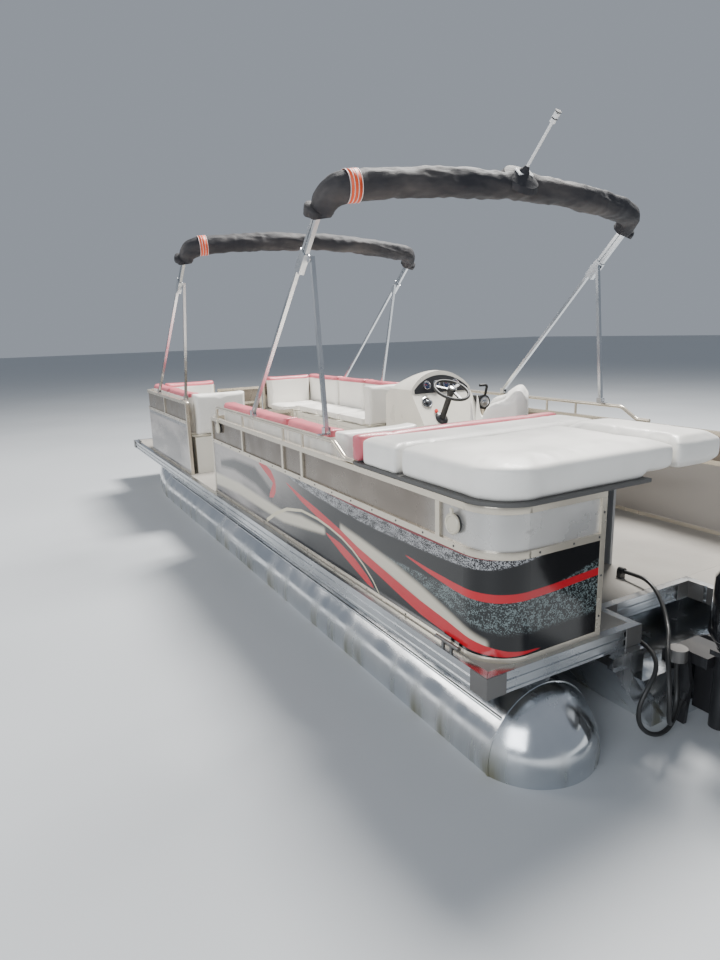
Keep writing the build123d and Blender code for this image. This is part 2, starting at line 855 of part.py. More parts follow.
# Helm console: side outline cut by an arched front outline, with its dash and wheel
console_mid = (console_left + console_right) / 2
with BuildPart() as console:
    with BuildSketch(lengthwise(console_left)):
        Polygon(
            (fore(console_aft + console_kick), up(0)), (fore(console_front), up(0)),
            (fore(console_front), up(hood_side - hood_drop)),
            (fore(console_aft + hood_run + hood_flat), up(hood_height)),
            (fore(console_aft + hood_run), up(hood_height)),
            (fore(console_aft + dash_run), up(dash_height)),
            (fore(console_aft), up(dash_foot)), align=None,
        )
    extrude(amount=console_width)
    with BuildSketch(athwart(0, fore(console_front), 0)):
        with BuildLine():
            arch = ThreePointArc(
                (console_left, up(hood_side)), (console_mid, up(hood_height)),
                (console_right, up(hood_side)),
            )
            Polyline(arch @ 1, (console_right, up(0)), (console_left, up(0)), arch @ 0)
        make_face()
    extrude(amount=console_length, mode=Mode.INTERSECT)
save(console.part, "console")


def console_plane(run, height, slope):
    """Sketch plane on the console's aft face: its Y runs up the slope and it faces aft."""
    return Plane(origin=(console_mid, fore(console_aft + run), up(height)), x_dir=(1, 0, 0),
                 z_dir=(0, -sin(slope), cos(slope)))


# The gauges' arched plate is under the hood, and the radio and the wheel are on the slope below
slope_plane = console_plane(dash_run / 2, (dash_foot + dash_height) / 2,
                            atan2(dash_height - dash_foot, dash_run))
hood_plane = console_plane(dash_run, dash_height,
                           atan2(hood_height - dash_height, hood_run - dash_run))
dash_half = console_width / 2 - dash_margin
with BuildPart() as dash:
    with BuildSketch(hood_plane.offset(seat_gap)):
        with BuildLine():
            rim = ThreePointArc(
                (-dash_half, hood_side - dash_height), (0, hood_height - dash_height - dash_margin),
                (dash_half, hood_side - dash_height),
            )
            Polyline(rim @ 1, (dash_half, dash_thickness), (-dash_half, dash_thickness), rim @ 0)
        make_face()
    extrude(amount=dash_thickness)
    with BuildSketch(hood_plane.offset(seat_gap + dash_thickness)):
        with Locations((0, gauge_rise)):
            with GridLocations(gauge_pitch, 1, gauge_count, 1):
                Circle(gauge_radius)
    extrude(amount=dash_thickness)
    with BuildSketch(slope_plane.offset(seat_gap)):
        with Locations((radio_from_side - dash_half, radio_drop)):
            Circle(radio_radius)
    extrude(amount=dash_thickness)
save(dash.part, "dash")

wheel_x = console_left + wheel_from_side
wheel_axis = Vector(0, cos(radians(wheel_tilt)), -sin(radians(wheel_tilt)))
wheel_centre = Vector(wheel_x, fore(console_aft - wheel_reach), up(wheel_height))
with BuildPart() as wheel:
    with Locations(Plane(origin=wheel_centre, x_dir=(1, 0, 0), z_dir=-wheel_axis)):
        Torus(wheel_radius, wheel_rim)
        Cylinder(wheel_hub, hub_length)
        with PolarLocations(0, spoke_count, start_angle=-90):
            with Locations(((wheel_radius + wheel_hub) / 2, 0, 0)):
                Box(wheel_radius - wheel_hub + wheel_rim, spoke_width, spoke_thickness)
save(wheel.part, "steering_wheel")

# The column runs from the hub to the console's sloping face
to_slope = (slope_plane.origin - wheel_centre).dot(slope_plane.z_dir)
column_start = hub_length / 2 + seat_gap
column_length = to_slope / wheel_axis.dot(slope_plane.z_dir) - column_start + column_radius
with BuildPart() as column:
    with BuildSketch(Plane(origin=wheel_centre + wheel_axis * column_start, x_dir=(1, 0, 0),
                           z_dir=wheel_axis)):
        Circle(column_radius)
    extrude(amount=column_length)
    add(console.part, mode=Mode.SUBTRACT)
save(column.solids().sort_by_distance(wheel_centre)[0], "steering_column")

# Throttle lever on the console's starboard side: a housing with a round face, and the lever
with BuildPart() as throttle:
    width, depth, height = lever_base
    lever_y = fore(console_aft) + depth
    block((console_right + seat_gap, console_right + width),
          (lever_y - depth / 2, lever_y + depth / 2),
          (up(lever_height) - height / 2, up(lever_height) + height / 2))
    with BuildSketch(athwart(console_right + width / 2, lever_y - depth / 2, up(lever_height))):
        Circle(lever_disc_radius)
    extrude(amount=lever_disc_depth)
    lever_x = console_right + width + lever_radius
    tube_run(
        [(lever_x - 2 * lever_radius, lever_y, up(lever_height)),
         (lever_x + lever_radius, lever_y, up(lever_height)),
         (lever_x + lever_radius, lever_y - lever_lean, up(lever_height + lever_rise)),
         (lever_x - lever_grip, lever_y - lever_lean, up(lever_height + lever_rise))],
        (lever_radius, 2 * lever_radius), lever_radius,
    )
save(throttle.part, "throttle_control")

# Helm chair: pedestal with a spigot, swivel plate, seat, and back with arms
chair_x = wheel_x
chair_y = fore(console_aft - wheel_reach - chair_from_wheel)
chair_axis = Axis((chair_x, chair_y, 0), (0, 0, 1))
plate_bottom = up(chair_seat - chair_plate)
with BuildPart() as pedestal:
    foot_top = up(pedestal_foot)
    column_top = plate_bottom - foot_gap
    spigot_top = up(chair_seat) - foot_gap
    for radius, low, high in (
        (pedestal_foot_radius, up(0), foot_top),
        (pedestal_radius, foot_top, column_top),
        (spigot_radius, column_top, spigot_top),
    ):
        with Locations((chair_x, chair_y, (low + high) / 2)):
            Cylinder(radius, high - low)
save(pedestal.part, "chair_pedestal")

with BuildPart() as swivel_plate:
    with Locations((chair_x, chair_y, plate_bottom + chair_plate / 2)):
        Box(chair_width - chair_plate_margin, chair_depth - chair_plate_margin, chair_plate)
        Cylinder(spigot_radius + running_gap, 2 * chair_plate, mode=Mode.SUBTRACT)
save(swivel_plate.part.rotate(chair_axis, chair_turn), "chair_plate")

seat_front = chair_y + chair_depth / 2
seat_back = chair_y - chair_depth / 2
cushion_low = up(chair_seat) + seat_gap
arm_inner = chair_width / 2 - chair_arm_width
with BuildPart() as chair_seat_part:
    block((chair_x - arm_inner + seat_gap, chair_x + arm_inner - seat_gap),
          (seat_back + chair_back_thickness + seat_gap, seat_front),
          (cushion_low, cushion_low + chair_cushion))
save(chair_seat_part.part.rotate(chair_axis, chair_turn), "chair_seat")

# The chair's back sweeps down into its arms: distance forward of the back, height over the seat
chair_sweep = ((52, 540), (140, 480), (300, 380), (390, 280))
with BuildPart() as chair_back:
    with BuildSketch(lengthwise(chair_x - chair_width / 2, seat_back, cushion_low)):
        with BuildLine():
            Spline((0, chair_back_knee), *chair_sweep, (chair_arm_length, chair_arm_knee),
                   tangents=((0, 1), (0, -1)))
            Polyline((chair_arm_length, chair_arm_knee), (chair_arm_length, 0), (0, 0),
                     (0, chair_back_knee))
        make_face()
    extrude(amount=chair_width)
    block((chair_x - arm_inner, chair_x + arm_inner),
          (seat_back + chair_back_thickness, seat_front + chair_depth),
          (cushion_low - chair_depth, cushion_low + 2 * chair_depth), mode=Mode.SUBTRACT)
save(chair_back.part.rotate(chair_axis, chair_turn), "chair_back")


def on_lean(foot, corner, height):
    """Y where the leaning legs reach a height, from their foot and corner points."""
    (foot_y, foot_z), (corner_y, corner_z) = foot, corner
    return foot_y + (corner_y - foot_y) * (height - foot_z) / (corner_z - foot_z)


# Awning feet: a base, two cheeks and a pin for each leg and each strut
with BuildPart() as feet:
    half = awning_tube / 2 + foot_gap
    outer = half + foot_cheek
    for name, leg_foot, seat, corner_at, strut_foot, strut_top in awnings:
        for side, sign in sides:
            for x, y in ((awning_half, leg_foot), (awning_half - strut_inset, strut_foot)):
                y_range = (fore(y) - foot_length / 2, fore(y) + foot_length / 2)
                for cheek in (-1, 1):
                    near = sign * x + cheek * half
                    block((near, near + cheek * foot_cheek), y_range,
                          (up(seat) + foot_cheek, up(seat) + foot_pivot + 3 * awning_pin))
                block((sign * (x - outer), sign * (awning_half + outer)), y_range,
                      (up(seat) + seat_gap, up(seat) + foot_cheek))
                with Locations((sign * x, fore(y), up(seat) + foot_pivot)):
                    Cylinder(awning_pin, 2 * outer, rotation=(0, 90, 0))
save(feet.part, "awning_feet")


def along_lean(start, lean, distance):
    """A point at a distance from start along the direction of the lean."""
    return (start[0] + distance * lean[0], start[1] + distance * lean[1])


def arch_of_tube(corner, lean, drop, section):
    """Sweep of a section from one leg over the crowned arch to the other leg."""
    low = along_lean(corner, lean, -drop)
    with BuildLine() as route:
        FilletPolyline(
            (-awning_half, *low), (-awning_half, *corner),
            (0, *along_lean(corner, lean, awning_crown)),
            (awning_half, *corner), (awning_half, *low),
            radius=(awning_bend, crown_radius, awning_bend),
        )
    with BuildSketch(Plane(origin=route.line @ 0, x_dir=(1, 0, 0), z_dir=route.line % 0)) as end:
        if section == "square":
            Rectangle(awning_tube, awning_tube)
        else:
            Circle(awning_sleeve)
    sweep(end.sketch, path=route.line)


def straight_tube(x, start, way, length):
    """A square tube from a point in one side's plane along a direction in it."""
    with BuildSketch(Plane(origin=(x, *start), x_dir=(1, 0, 0), z_dir=(0, *way))) as end:
        Rectangle(awning_tube, awning_tube)
    extrude(end.sketch, amount=length)


# The crown's top, from the line between the legs' corners
crown_turn = atan2(awning_crown, awning_half)
arch_rise = awning_crown - crown_radius * (1 / cos(crown_turn) - 1)
for name, leg_foot, seat, corner_at, strut_foot, strut_top in awnings:
    foot = (fore(leg_foot), up(seat) + foot_pivot)
    corner = (fore(corner_at[0]), up(corner_at[1]))
    reach = hypot(corner[0] - foot[0], corner[1] - foot[1])
    lean = ((corner[0] - foot[0]) / reach, (corner[1] - foot[1]) / reach)
    # Step from the first tube of the bundle to the second
    off = (-bundle_pitch * lean[1], bundle_pitch * lean[0])
    middle = (corner[0] + off[0] / 2, corner[1] + off[1] / 2)
    bracket = (on_lean(foot, corner, up(strut_top[1])), up(strut_top[1]))
    strut_end = (fore(strut_top[0]), up(strut_top[1]))
    drop = sleeve_drop + awning_bend
    splice = drop + splice_drop
    with BuildPart() as frame:
        for side, sign in sides:
            clasp = Plane(
                origin=(sign * awning_half, bracket[0] + off[0] / 2, bracket[1] + off[1] / 2),
                x_dir=(1, 0, 0), z_dir=(0, *lean),
            )
            with BuildSketch(clasp):
                Rectangle(awning_tube + 2 * bracket_plate, bundle_pitch + awning_tube
                          + 2 * bracket_plate)
            extrude(amount=bracket_reach, both=True)
            # Plate that reaches aft to the strut's head
            inner_face = sign * (awning_half - awning_tube / 2)
            with BuildSketch(lengthwise(inner_face)):
                with Locations(bracket):
                    Circle(awning_tube)
                with Locations(strut_end):
                    Circle(awning_tube / 2 + bracket_plate)
                make_hull()
            extrude(amount=-sign * bracket_plate)
            with BuildSketch(clasp):
                with GridLocations(1, bundle_pitch, 1, 2):
                    Rectangle(awning_tube + 2 * seat_gap, awning_tube + 2 * seat_gap)
            extrude(amount=2 * bracket_reach, both=True, mode=Mode.SUBTRACT)
            straight_tube(sign * awning_half, along_lean(foot, lean, -leg_heel), lean,
                          reach - splice + leg_heel - seat_gap)
            second_foot = (bracket[0] + off[0], bracket[1] + off[1])
            second_length = hypot(corner[0] - bracket[0], corner[1] - bracket[1]) - splice
            straight_tube(sign * awning_half, second_foot, lean, second_length - seat_gap)
            with Locations((sign * awning_half, *foot)):
                Cylinder(awning_pin + running_gap, 2 * awning_tube, rotation=(0, 90, 0),
                         mode=Mode.SUBTRACT)
        arch_of_tube(corner, lean, splice, "square")
        arch_of_tube((corner[0] + off[0], corner[1] + off[1]), lean, splice, "square")
    save(frame.part, f"awning_{name}_frame")

    with BuildPart() as sleeve:
        arch_of_tube(middle, lean, drop, "round")
        add(frame.part, mode=Mode.SUBTRACT)
    save(sleeve.part, f"awning_{name}_boot")
    if name == "aft":
        light_foot = along_lean(middle, lean, arch_rise + awning_sleeve + seat_gap)
        light_way = lean

    with BuildPart() as struts:
        strut_base = (fore(strut_foot), up(seat) + foot_pivot)
        length = hypot(strut_end[0] - strut_base[0], strut_end[1] - strut_base[1])
        way = ((strut_end[0] - strut_base[0]) / length, (strut_end[1] - strut_base[1]) / length)
        for side, sign in sides:
            x = sign * (awning_half - strut_inset)
            straight_tube(x, along_lean(strut_base, way, -leg_heel), way, length + 2 * leg_heel)
            with Locations((x, *strut_base)):
                Cylinder(awning_pin + running_gap, 2 * awning_tube, rotation=(0, 90, 0),
                         mode=Mode.SUBTRACT)
    save(struts.part, f"awning_{name}_struts")

# All-round light on the aft boot's crown: base, pole and lens
light_seat = Plane(origin=(light_x, *light_foot), x_dir=(1, 0, 0), z_dir=(0, *light_way))
with BuildPart() as light:
    base_x, base_y, base_z = light_base
    with BuildSketch(light_seat):
        Rectangle(base_x, base_y)
    extrude(amount=base_z)
    for radius, low, length in ((light_radius, base_z, light_length),
                                (lens_radius, base_z + light_length, lens_length)):
        with BuildSketch(light_seat.offset(low)):
            Circle(radius)
        extrude(amount=length)
save(light.part, "all_round_light")

# Outboard: clamp bracket on the transom, swivel, leg with cowl, and propeller
tilt_point = (fore(tilt_y), tilt_z)
steer_point = fore(steer_y)
clamp_face = fore(pod_aft) - transom_thickness - motor_plate_thickness
# Clamp side outline: distance aft of the motor plate (or forward if negative), height
clamp_hook = transom_thickness + motor_plate_thickness + 36
clamp_outline = (
    (seat_gap, clamp_foot_z), (seat_gap, transom_top + seat_gap),
    (-clamp_hook, transom_top + seat_gap), (-clamp_hook, transom_top + 52),
    (-20, tilt_z + 45), (30, tilt_z + 40), (62, tilt_z - 120), (42, clamp_foot_z),
)
with BuildPart() as clamp:
    for side, sign in sides:
        with BuildSketch(lengthwise(sign * (clamp_half - clamp_plate))):
            Polygon(*[(clamp_face - aft, height) for aft, height in clamp_outline], align=None)
        extrude(amount=sign * clamp_plate)
    with Locations((0, *tilt_point)):
        Cylinder(tilt_tube_radius, 2 * (clamp_half + tilt_tube_reach), rotation=(0, 90, 0))
save(clamp.part, "outboard_clamp")

with BuildPart() as swivel:
    arm_half = tilt_tube_radius + 10
    block((-swivel_half, swivel_half), (steer_point + arm_half, tilt_point[0] + arm_half),
          (tilt_z - arm_half, tilt_z + arm_half))
    block((-swivel_web, swivel_web), (steer_point, clamp_face - 3 * foot_cheek),
          (-clamp_foot_z, tilt_z - arm_half))
    swivel_top_z = tilt_z + swivel_tube_radius
    with Locations((0, steer_point, (swivel_top_z + swivel_foot_z) / 2)):
        Cylinder(swivel_tube_radius, swivel_top_z - swivel_foot_z)
    with Locations((0, *tilt_point)):
        Cylinder(tilt_tube_radius + running_gap, 4 * clamp_half, rotation=(0, 90, 0),
                 mode=Mode.SUBTRACT)
    with Locations((0, steer_point, 0)):
        Cylinder(steer_shaft_radius + running_gap, 4 * tilt_z, mode=Mode.SUBTRACT)
save(swivel.part, "outboard_swivel")

# Steering shaft with its yokes, leg, plate over the propeller, gearcase, skeg and shaft
yoke_top = swivel_foot_z - yoke_gap
head_bottom = swivel_top_z + yoke_gap
leg_centre = steer_point - 190
gearcase_y = steer_point - gearcase_centre
gearcase_end = gearcase_y - gearcase_tail
with BuildPart() as leg:
    with Locations((0, steer_point, (yoke_top + head_bottom) / 2)):
        Cylinder(steer_shaft_radius, head_bottom - yoke_top + yoke_gap)
    block((-65, 65), (steer_point + steer_shaft_radius, leg_centre),
          (yoke_top - yoke_thickness, yoke_top))
    block((-85, 85), (steer_point + steer_shaft_radius, leg_centre), (head_bottom, cowl_bottom))
    # Leg sections: height, width, length
    for z, width, length in ((cowl_bottom, 170, 240), (leg_bottom, 80, 230)):
        with BuildSketch(Plane.XY.offset(z)):
            with Locations((0, leg_centre)):
                Rectangle(width, length)
    loft()
    block((-90, 90), (steer_point - 15, gearcase_end - 115), (leg_bottom, leg_bottom + 8))
    block((-30, 30), (steer_point - 65, gearcase_end + 55), (gearcase_z, leg_bottom))
    with BuildSketch(lengthwise(0, gearcase_y, gearcase_z)):
        with BuildLine():
            nose = ThreePointArc((240, 0), (185, gearcase_radius * 0.8), (90, gearcase_radius))
            Polyline(nose @ 1, (-gearcase_tail, gearcase_radius - 8), (-gearcase_tail, 0),
                     nose @ 0)
        make_face()
    revolve(axis=Axis((0, 0, gearcase_z), (0, 1, 0)))
    with BuildSketch(lengthwise(-skeg_thickness / 2)):
        Polygon(
            (steer_point - 90, gearcase_z), (gearcase_end + 20, gearcase_z),
            (gearcase_end + 30, gearcase_z - skeg_depth),
            (gearcase_end + 100, gearcase_z - skeg_depth), align=None,
        )
    extrude(amount=skeg_thickness)
    with Locations((0, gearcase_end - hub_length_aft / 2, gearcase_z)):
        Cylinder(propeller_shaft_radius, hub_length_aft, rotation=(90, 0, 0))
save(leg.part, "outboard_leg")

with BuildPart() as cowl:
    cowl_mid = fore(cowl_front) - cowl_length / 2
    # Cowl sections: height, half width, length, forward shift
    for z, half, length, shift in (
        (cowl_bottom + seat_gap, cowl_half - 40, cowl_length - 120, -10),
        (cowl_bottom + 130, cowl_half, cowl_length, 0),
        (cowl_top - 130, cowl_half - 10, cowl_length - 10, 0),
        (cowl_top, cowl_half - 70, cowl_length - 180, 10),
    ):
        with BuildSketch(Plane.XY.offset(z)):
            with Locations((0, cowl_mid + shift)):
                RectangleRounded(2 * half, length, cowl_corner)
    loft(ruled=True)
save(cowl.part, "outboard_cowl")

# Blade sections: distance from the axis, chord, thickness, corner
blade_sections = ((30, 80, 9, 4), (110, 120, 7, 3), (propeller_radius, 60, 4, 1.5))
hub_front = gearcase_end - foot_gap
with BuildPart() as propeller:
    with BuildSketch(lengthwise(0, hub_front, gearcase_z)):
        Polygon((0, 0), (0, gearcase_radius - 9), (30 - hub_length_aft, 38),
                (-hub_length_aft, 24), (-hub_length_aft, 0), align=None)
    revolve(axis=Axis((0, 0, gearcase_z), (0, 1, 0)))
    for i in range(blade_count):
        turn = 360 * i / blade_count
        root = Plane(
            origin=(0, hub_front - 0.4 * hub_length_aft, gearcase_z),
            x_dir=Vector(0.64, 0.77, 0).rotate(Axis.Y, turn),
            z_dir=Vector(0, 0, 1).rotate(Axis.Y, turn),
        )
        for height, chord, thickness, corner in blade_sections:
            with BuildSketch(root.offset(height)):
                RectangleRounded(chord, thickness, corner)
        loft(ruled=True)
    with Locations((0, hub_front - hub_length_aft / 2, gearcase_z)):
        Cylinder(propeller_shaft_radius + running_gap, 2 * hub_length_aft, rotation=(90, 0, 0),
                 mode=Mode.SUBTRACT)
save(propeller.part, "propeller")

# Rigging fitting on the clamp's port side
with BuildPart() as fitting:
    place = (fitting_x, fore(fitting_y))
    with Locations((*place, fitting_z + fitting_height / 2)):
        Cylinder(fitting_radius, fitting_height)
    block((fitting_x, -clamp_half - seat_gap), (place[1] - 15, place[1] + 15),
          (fitting_z, fitting_z + fitting_height / 2))
save(fitting.part, "rigging_fitting")

# Deck cleats at the four corners
with BuildPart() as cleats:
    for side, sign in sides:
        for y in (fore(cleat_end), fore(deck_length - cleat_end)):
            x = sign * (deck_beam / 2 - cleat_inset)
            for shift in (-cleat_post, cleat_post):
                with Locations((x, y + shift, up(0) + (cleat_height + seat_gap) / 2)):
                    Cylinder(cleat_radius, cleat_height - seat_gap)
            with Locations((x, y, up(cleat_height))):
                Cylinder(cleat_radius, cleat_length, rotation=(90, 0, 0))
save(cleats.part, "cleats")

# Round fittings on the port fence's upper panels
with BuildPart() as fittings:
    for y, height in panel_fitting_places:
        face = lengthwise(-(fence_half - panel_inset + seat_gap), fore(y), up(height))
        for radius, low, depth in ((cap_ring_radius, 0, cap_ring_depth),
                                   (cap_ring_radius - 12, cap_ring_depth, 6)):
            with BuildSketch(face.offset(-low)):
                Circle(radius)
            extrude(amount=-depth)
save(fittings.part, "panel_fittings")

# Hoses: points as distance to starboard, place forward of the stern and height over the deck
fitting_foot = (fitting_x, fitting_y, fitting_z - deck_top)
hoses = (
    ("hose_outer", (
        (-268, 455, -180), (-264, 385, -178), (-254, 290, -168), (-250, 190, -152),
        (-258, 90, -136), (-286, -5, -132), (-328, -92, -150), (-392, -140, -186),
        (-460, -150, -240), (-505, -145, -320), (-498, -145, -410), (-438, -148, -480),
        (-352, -150, -522), (-268, -148, -518), (-205, -138, -470), (-150, -125, -414),
    )),
    ("hose_inner", (
        (62, 420, 44), (56, 350, 48), (38, 262, 56), (8, 172, 28), (-30, 95, -30),
        (-84, 30, -82), (-152, -28, -98), (-230, -78, -96), (-302, -132, -116),
        (-360, -182, -168), (-396, -218, -238), (-404, -230, -320), (-384, -220, -394),
        (-332, -196, -446), (-262, -163, -452), (-206, -137, -408), (-182, -115, -338),
        (-185, -105, -262), fitting_foot,
    )),
)
gland_ends = []
for name, places in hoses:
    points = [Vector(x, fore(y), up(z)) for x, y, z in places]
    runs = [b - a for a, b in zip(points, points[1:])]
    gland_ends.append((points[0], runs[0] * -1))
    if places[-1] != fitting_foot:
        gland_ends.append((points[-1], runs[-1]))
    bends = []
    for before, after in zip(runs, runs[1:]):
        half_turn = radians(before.get_angle(after)) / 2
        bends.append(hose_bend * min(before.length, after.length) / tan(half_turn))
    with BuildPart() as hose:
        tube_run(points, bends, hose_diameter / 2)
    print(name, "bends", [round(bend) for bend in bends])
    print(name, "runs", [round(run.length) for run in runs])
    save(hose.part, name)

# Glands: on the splash well's front wall, on the clamp's port cheek and on a foot on the deck
with BuildPart() as glands:
    for place, way in gland_ends:
        with BuildSketch(Plane(origin=place, z_dir=way)):
            Circle(gland_radius)
        extrude(amount=2 * gland_radius)
    deck_gland = gland_ends[-1][0]
    block((deck_gland.X - gland_radius, deck_gland.X + gland_radius),
          (deck_gland.Y + gland_radius / 2, deck_gland.Y + 2 * gland_radius),
          (deck_top, deck_gland.Z))
    add(motor_pod.part, mode=Mode.SUBTRACT)
    block((-clamp_half - seat_gap, clamp_half), (stern_y, stern_y - deck_beam),
          (pod_bottom, deck_top), mode=Mode.SUBTRACT)
save(glands.part, "hose_glands")
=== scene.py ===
import json
import math

import bmesh
import bpy
import numpy as np
from mathutils import Matrix, Vector, noise
from mathutils.bvhtree import BVHTree


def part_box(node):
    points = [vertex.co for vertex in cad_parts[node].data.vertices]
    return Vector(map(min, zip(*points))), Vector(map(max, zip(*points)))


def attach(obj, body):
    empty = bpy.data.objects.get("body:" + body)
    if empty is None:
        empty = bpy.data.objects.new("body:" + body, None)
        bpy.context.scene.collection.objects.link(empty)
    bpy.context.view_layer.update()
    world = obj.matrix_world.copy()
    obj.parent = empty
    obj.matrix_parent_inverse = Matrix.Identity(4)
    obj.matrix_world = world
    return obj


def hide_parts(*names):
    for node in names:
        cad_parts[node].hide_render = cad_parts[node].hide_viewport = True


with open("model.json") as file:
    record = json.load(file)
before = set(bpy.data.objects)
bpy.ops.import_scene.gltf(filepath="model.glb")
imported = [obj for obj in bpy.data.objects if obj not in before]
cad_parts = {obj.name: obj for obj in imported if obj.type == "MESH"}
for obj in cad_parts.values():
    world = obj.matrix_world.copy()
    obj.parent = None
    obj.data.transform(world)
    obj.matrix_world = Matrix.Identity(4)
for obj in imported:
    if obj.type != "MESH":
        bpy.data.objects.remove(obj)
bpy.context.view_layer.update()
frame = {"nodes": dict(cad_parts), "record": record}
nodes = frame["nodes"]

# Places taken from the frame, in metres
RAIL_RIB = 0.006
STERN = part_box("deck_rail")[0][1] + RAIL_RIB
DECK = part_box("deck")[1][2]
FENCE_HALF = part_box("fence_frame")[1][0]
FENCE_TUBE = 0.032


def fore(distance):
    """Y of a place measured forward from the deck's aft edge."""
    return STERN + distance


def up(height):
    """Z of a height measured from the deck."""
    return DECK + height


# Camera and studio

CAMERA_PLACE = (-2.911, -5.667, 1.973)
# Turn to starboard, dip and roll in degrees, lens and sensor width in millimetres
CAMERA_TURNS = (29.0, 13.06, -1.676)
LENS, SENSOR = 24.24, 36.0
LAMP_AIM = (0, 0, 0.8)
FLOOR_SIZE = 160.0


def make_camera():
    yaw, pitch, roll = (math.radians(a) for a in CAMERA_TURNS)
    forward = Vector((math.sin(yaw) * math.cos(pitch), math.cos(yaw) * math.cos(pitch),
                      -math.sin(pitch)))
    level = Vector((math.cos(yaw), -math.sin(yaw), 0))
    upward = level.cross(forward)
    right = level * math.cos(roll) + upward * math.sin(roll)
    top = upward * math.cos(roll) - level * math.sin(roll)
    data = bpy.data.cameras.new("camera")
    data.lens = LENS
    data.sensor_width = SENSOR
    data.clip_end = 200.0
    camera = bpy.data.objects.new("camera", data)
    bpy.context.collection.objects.link(camera)
    turn = Matrix((right, top, -forward)).transposed()
    camera.matrix_world = Matrix.Translation(CAMERA_PLACE) @ turn.to_4x4()
    bpy.context.scene.camera = camera


def area_light(name, place, size, power, colour):
    """A square soft light that points at the boat."""
    data = bpy.data.lights.new(name, "AREA")
    data.size, data.energy, data.color = size, power, colour
    lamp = bpy.data.objects.new(name, data)
    bpy.context.collection.objects.link(lamp)
    lamp.location = place
    lamp.rotation_euler = (Vector(LAMP_AIM) - Vector(place)).to_track_quat("-Z", "Y").to_euler()


def make_studio():
    """Pale sky, three soft lights and a floor at the waterline."""
    world = bpy.data.worlds.new("studio")
    bpy.context.scene.world = world
    world.use_nodes = True
    back = world.node_tree.nodes["Background"]
    back.inputs["Color"].default_value = (0.8, 0.88, 1.0, 1)
    back.inputs["Strength"].default_value = 0.38
    area_light("key", (5.0, 1.5, 12.0), 4.0, 5200, (1.0, 0.98, 0.94))
    area_light("fill", (-10.0, -8.0, 5.0), 6.0, 700, (0.92, 0.96, 1.0))
    area_light("side", (-9.0, 6.0, 7.0), 5.0, 500, (1.0, 0.97, 0.93))
    bpy.ops.mesh.primitive_plane_add(size=FLOOR_SIZE)
    floor = bpy.context.object
    floor.name = "floor"
    paint = Graph("floor_paint", (0.46, 0.48, 0.5), 0.6)
    paint.vary(0.02, 0.4)
    floor.data.materials.append(paint.mat)


# Materials


class Graph:
    """A procedural material: a Principled shader and the nodes that feed it."""

    def __init__(self, name, base, rough, metal=0.0, coat=0.0, sheen=0.0):
        self.mat = bpy.data.materials.new(name)
        self.mat.use_nodes = True
        self.tree = self.mat.node_tree
        self.bsdf = self.tree.nodes["Principled BSDF"]
        self.base, self.rough = base, rough
        self.set("Base Color", (*base, 1))
        self.set("Roughness", rough)
        self.set("Metallic", metal)
        self.set("Coat Weight", coat)
        self.set("Coat Roughness", 0.08)
        self.set("Sheen Weight", sheen)
        self.coords = self.node("TexCoord").outputs["Object"]
        self.normal = None

    def set(self, socket, value):
        if isinstance(value, bpy.types.NodeSocket):
            self.tree.links.new(value, self.bsdf.inputs[socket])
        else:
            self.bsdf.inputs[socket].default_value = value

    def node(self, kind, inputs=(), **settings):
        made = self.tree.nodes.new("ShaderNode" + kind)
        for key, value in settings.items():
            setattr(made, key, value)
        for key, value in dict(inputs).items():
            if isinstance(value, bpy.types.NodeSocket):
                self.tree.links.new(value, made.inputs[key])
            else:
                made.inputs[key].default_value = value
        return made

    def math(self, operation, a, b=0.0, clamp=False):
        made = self.node("Math", {0: a, 1: b}, operation=operation, use_clamp=clamp)
        return made.outputs[0]

    def ramp(self, value, low, high, to_low=0.0, to_high=1.0, smooth=True):
        kind = "SMOOTHSTEP" if smooth else "LINEAR"
        made = self.node("MapRange", {0: value, 1: low, 2: high, 3: to_low, 4: to_high},
                         interpolation_type=kind)
        return made.outputs[0]

    def mix(self, factor, a, b):
        colours = [(*c, 1) if isinstance(c, tuple) else c for c in (a, b)]
        made = self.node("Mix", {0: factor, 6: colours[0], 7: colours[1]}, data_type="RGBA")
        return made.outputs[2]

    def stretched(self, scale):
        return self.node("Mapping", {0: self.coords, 3: scale}).outputs[0]

    def noise(self, scale, detail=4.0, stretch=None):
        where = self.stretched(stretch) if stretch else self.coords
        made = self.node("TexNoise", {"Vector": where, "Scale": scale, "Detail": detail})
        return made.outputs[0]

    def split(self):
        made = self.node("SeparateXYZ", {0: self.coords})
        return made.outputs[0], made.outputs[1], made.outputs[2]

    def vary(self, spread, scale, rough_spread=0.06, stretch=None, colour=None):
        """Mottles the colour and the roughness."""
        value = self.noise(scale, 5.0, stretch)
        mottle = self.ramp(value, 0.3, 0.7)
        dark = tuple(c * (1 - spread) for c in self.base)
        light = tuple(min(1, c * (1 + spread)) for c in self.base)
        self.set("Base Color", self.mix(mottle, colour or dark, light))
        self.set("Roughness", self.ramp(value, 0.25, 0.75, max(0.02, self.rough - rough_spread),
                                        self.rough + rough_spread))
        return mottle

    def bump(self, height, strength, distance=0.002):
        inputs = {"Height": height, "Strength": strength, "Distance": distance}
        if self.normal:
            inputs["Normal"] = self.normal
        self.normal = self.node("Bump", inputs).outputs[0]
        self.set("Normal", self.normal)


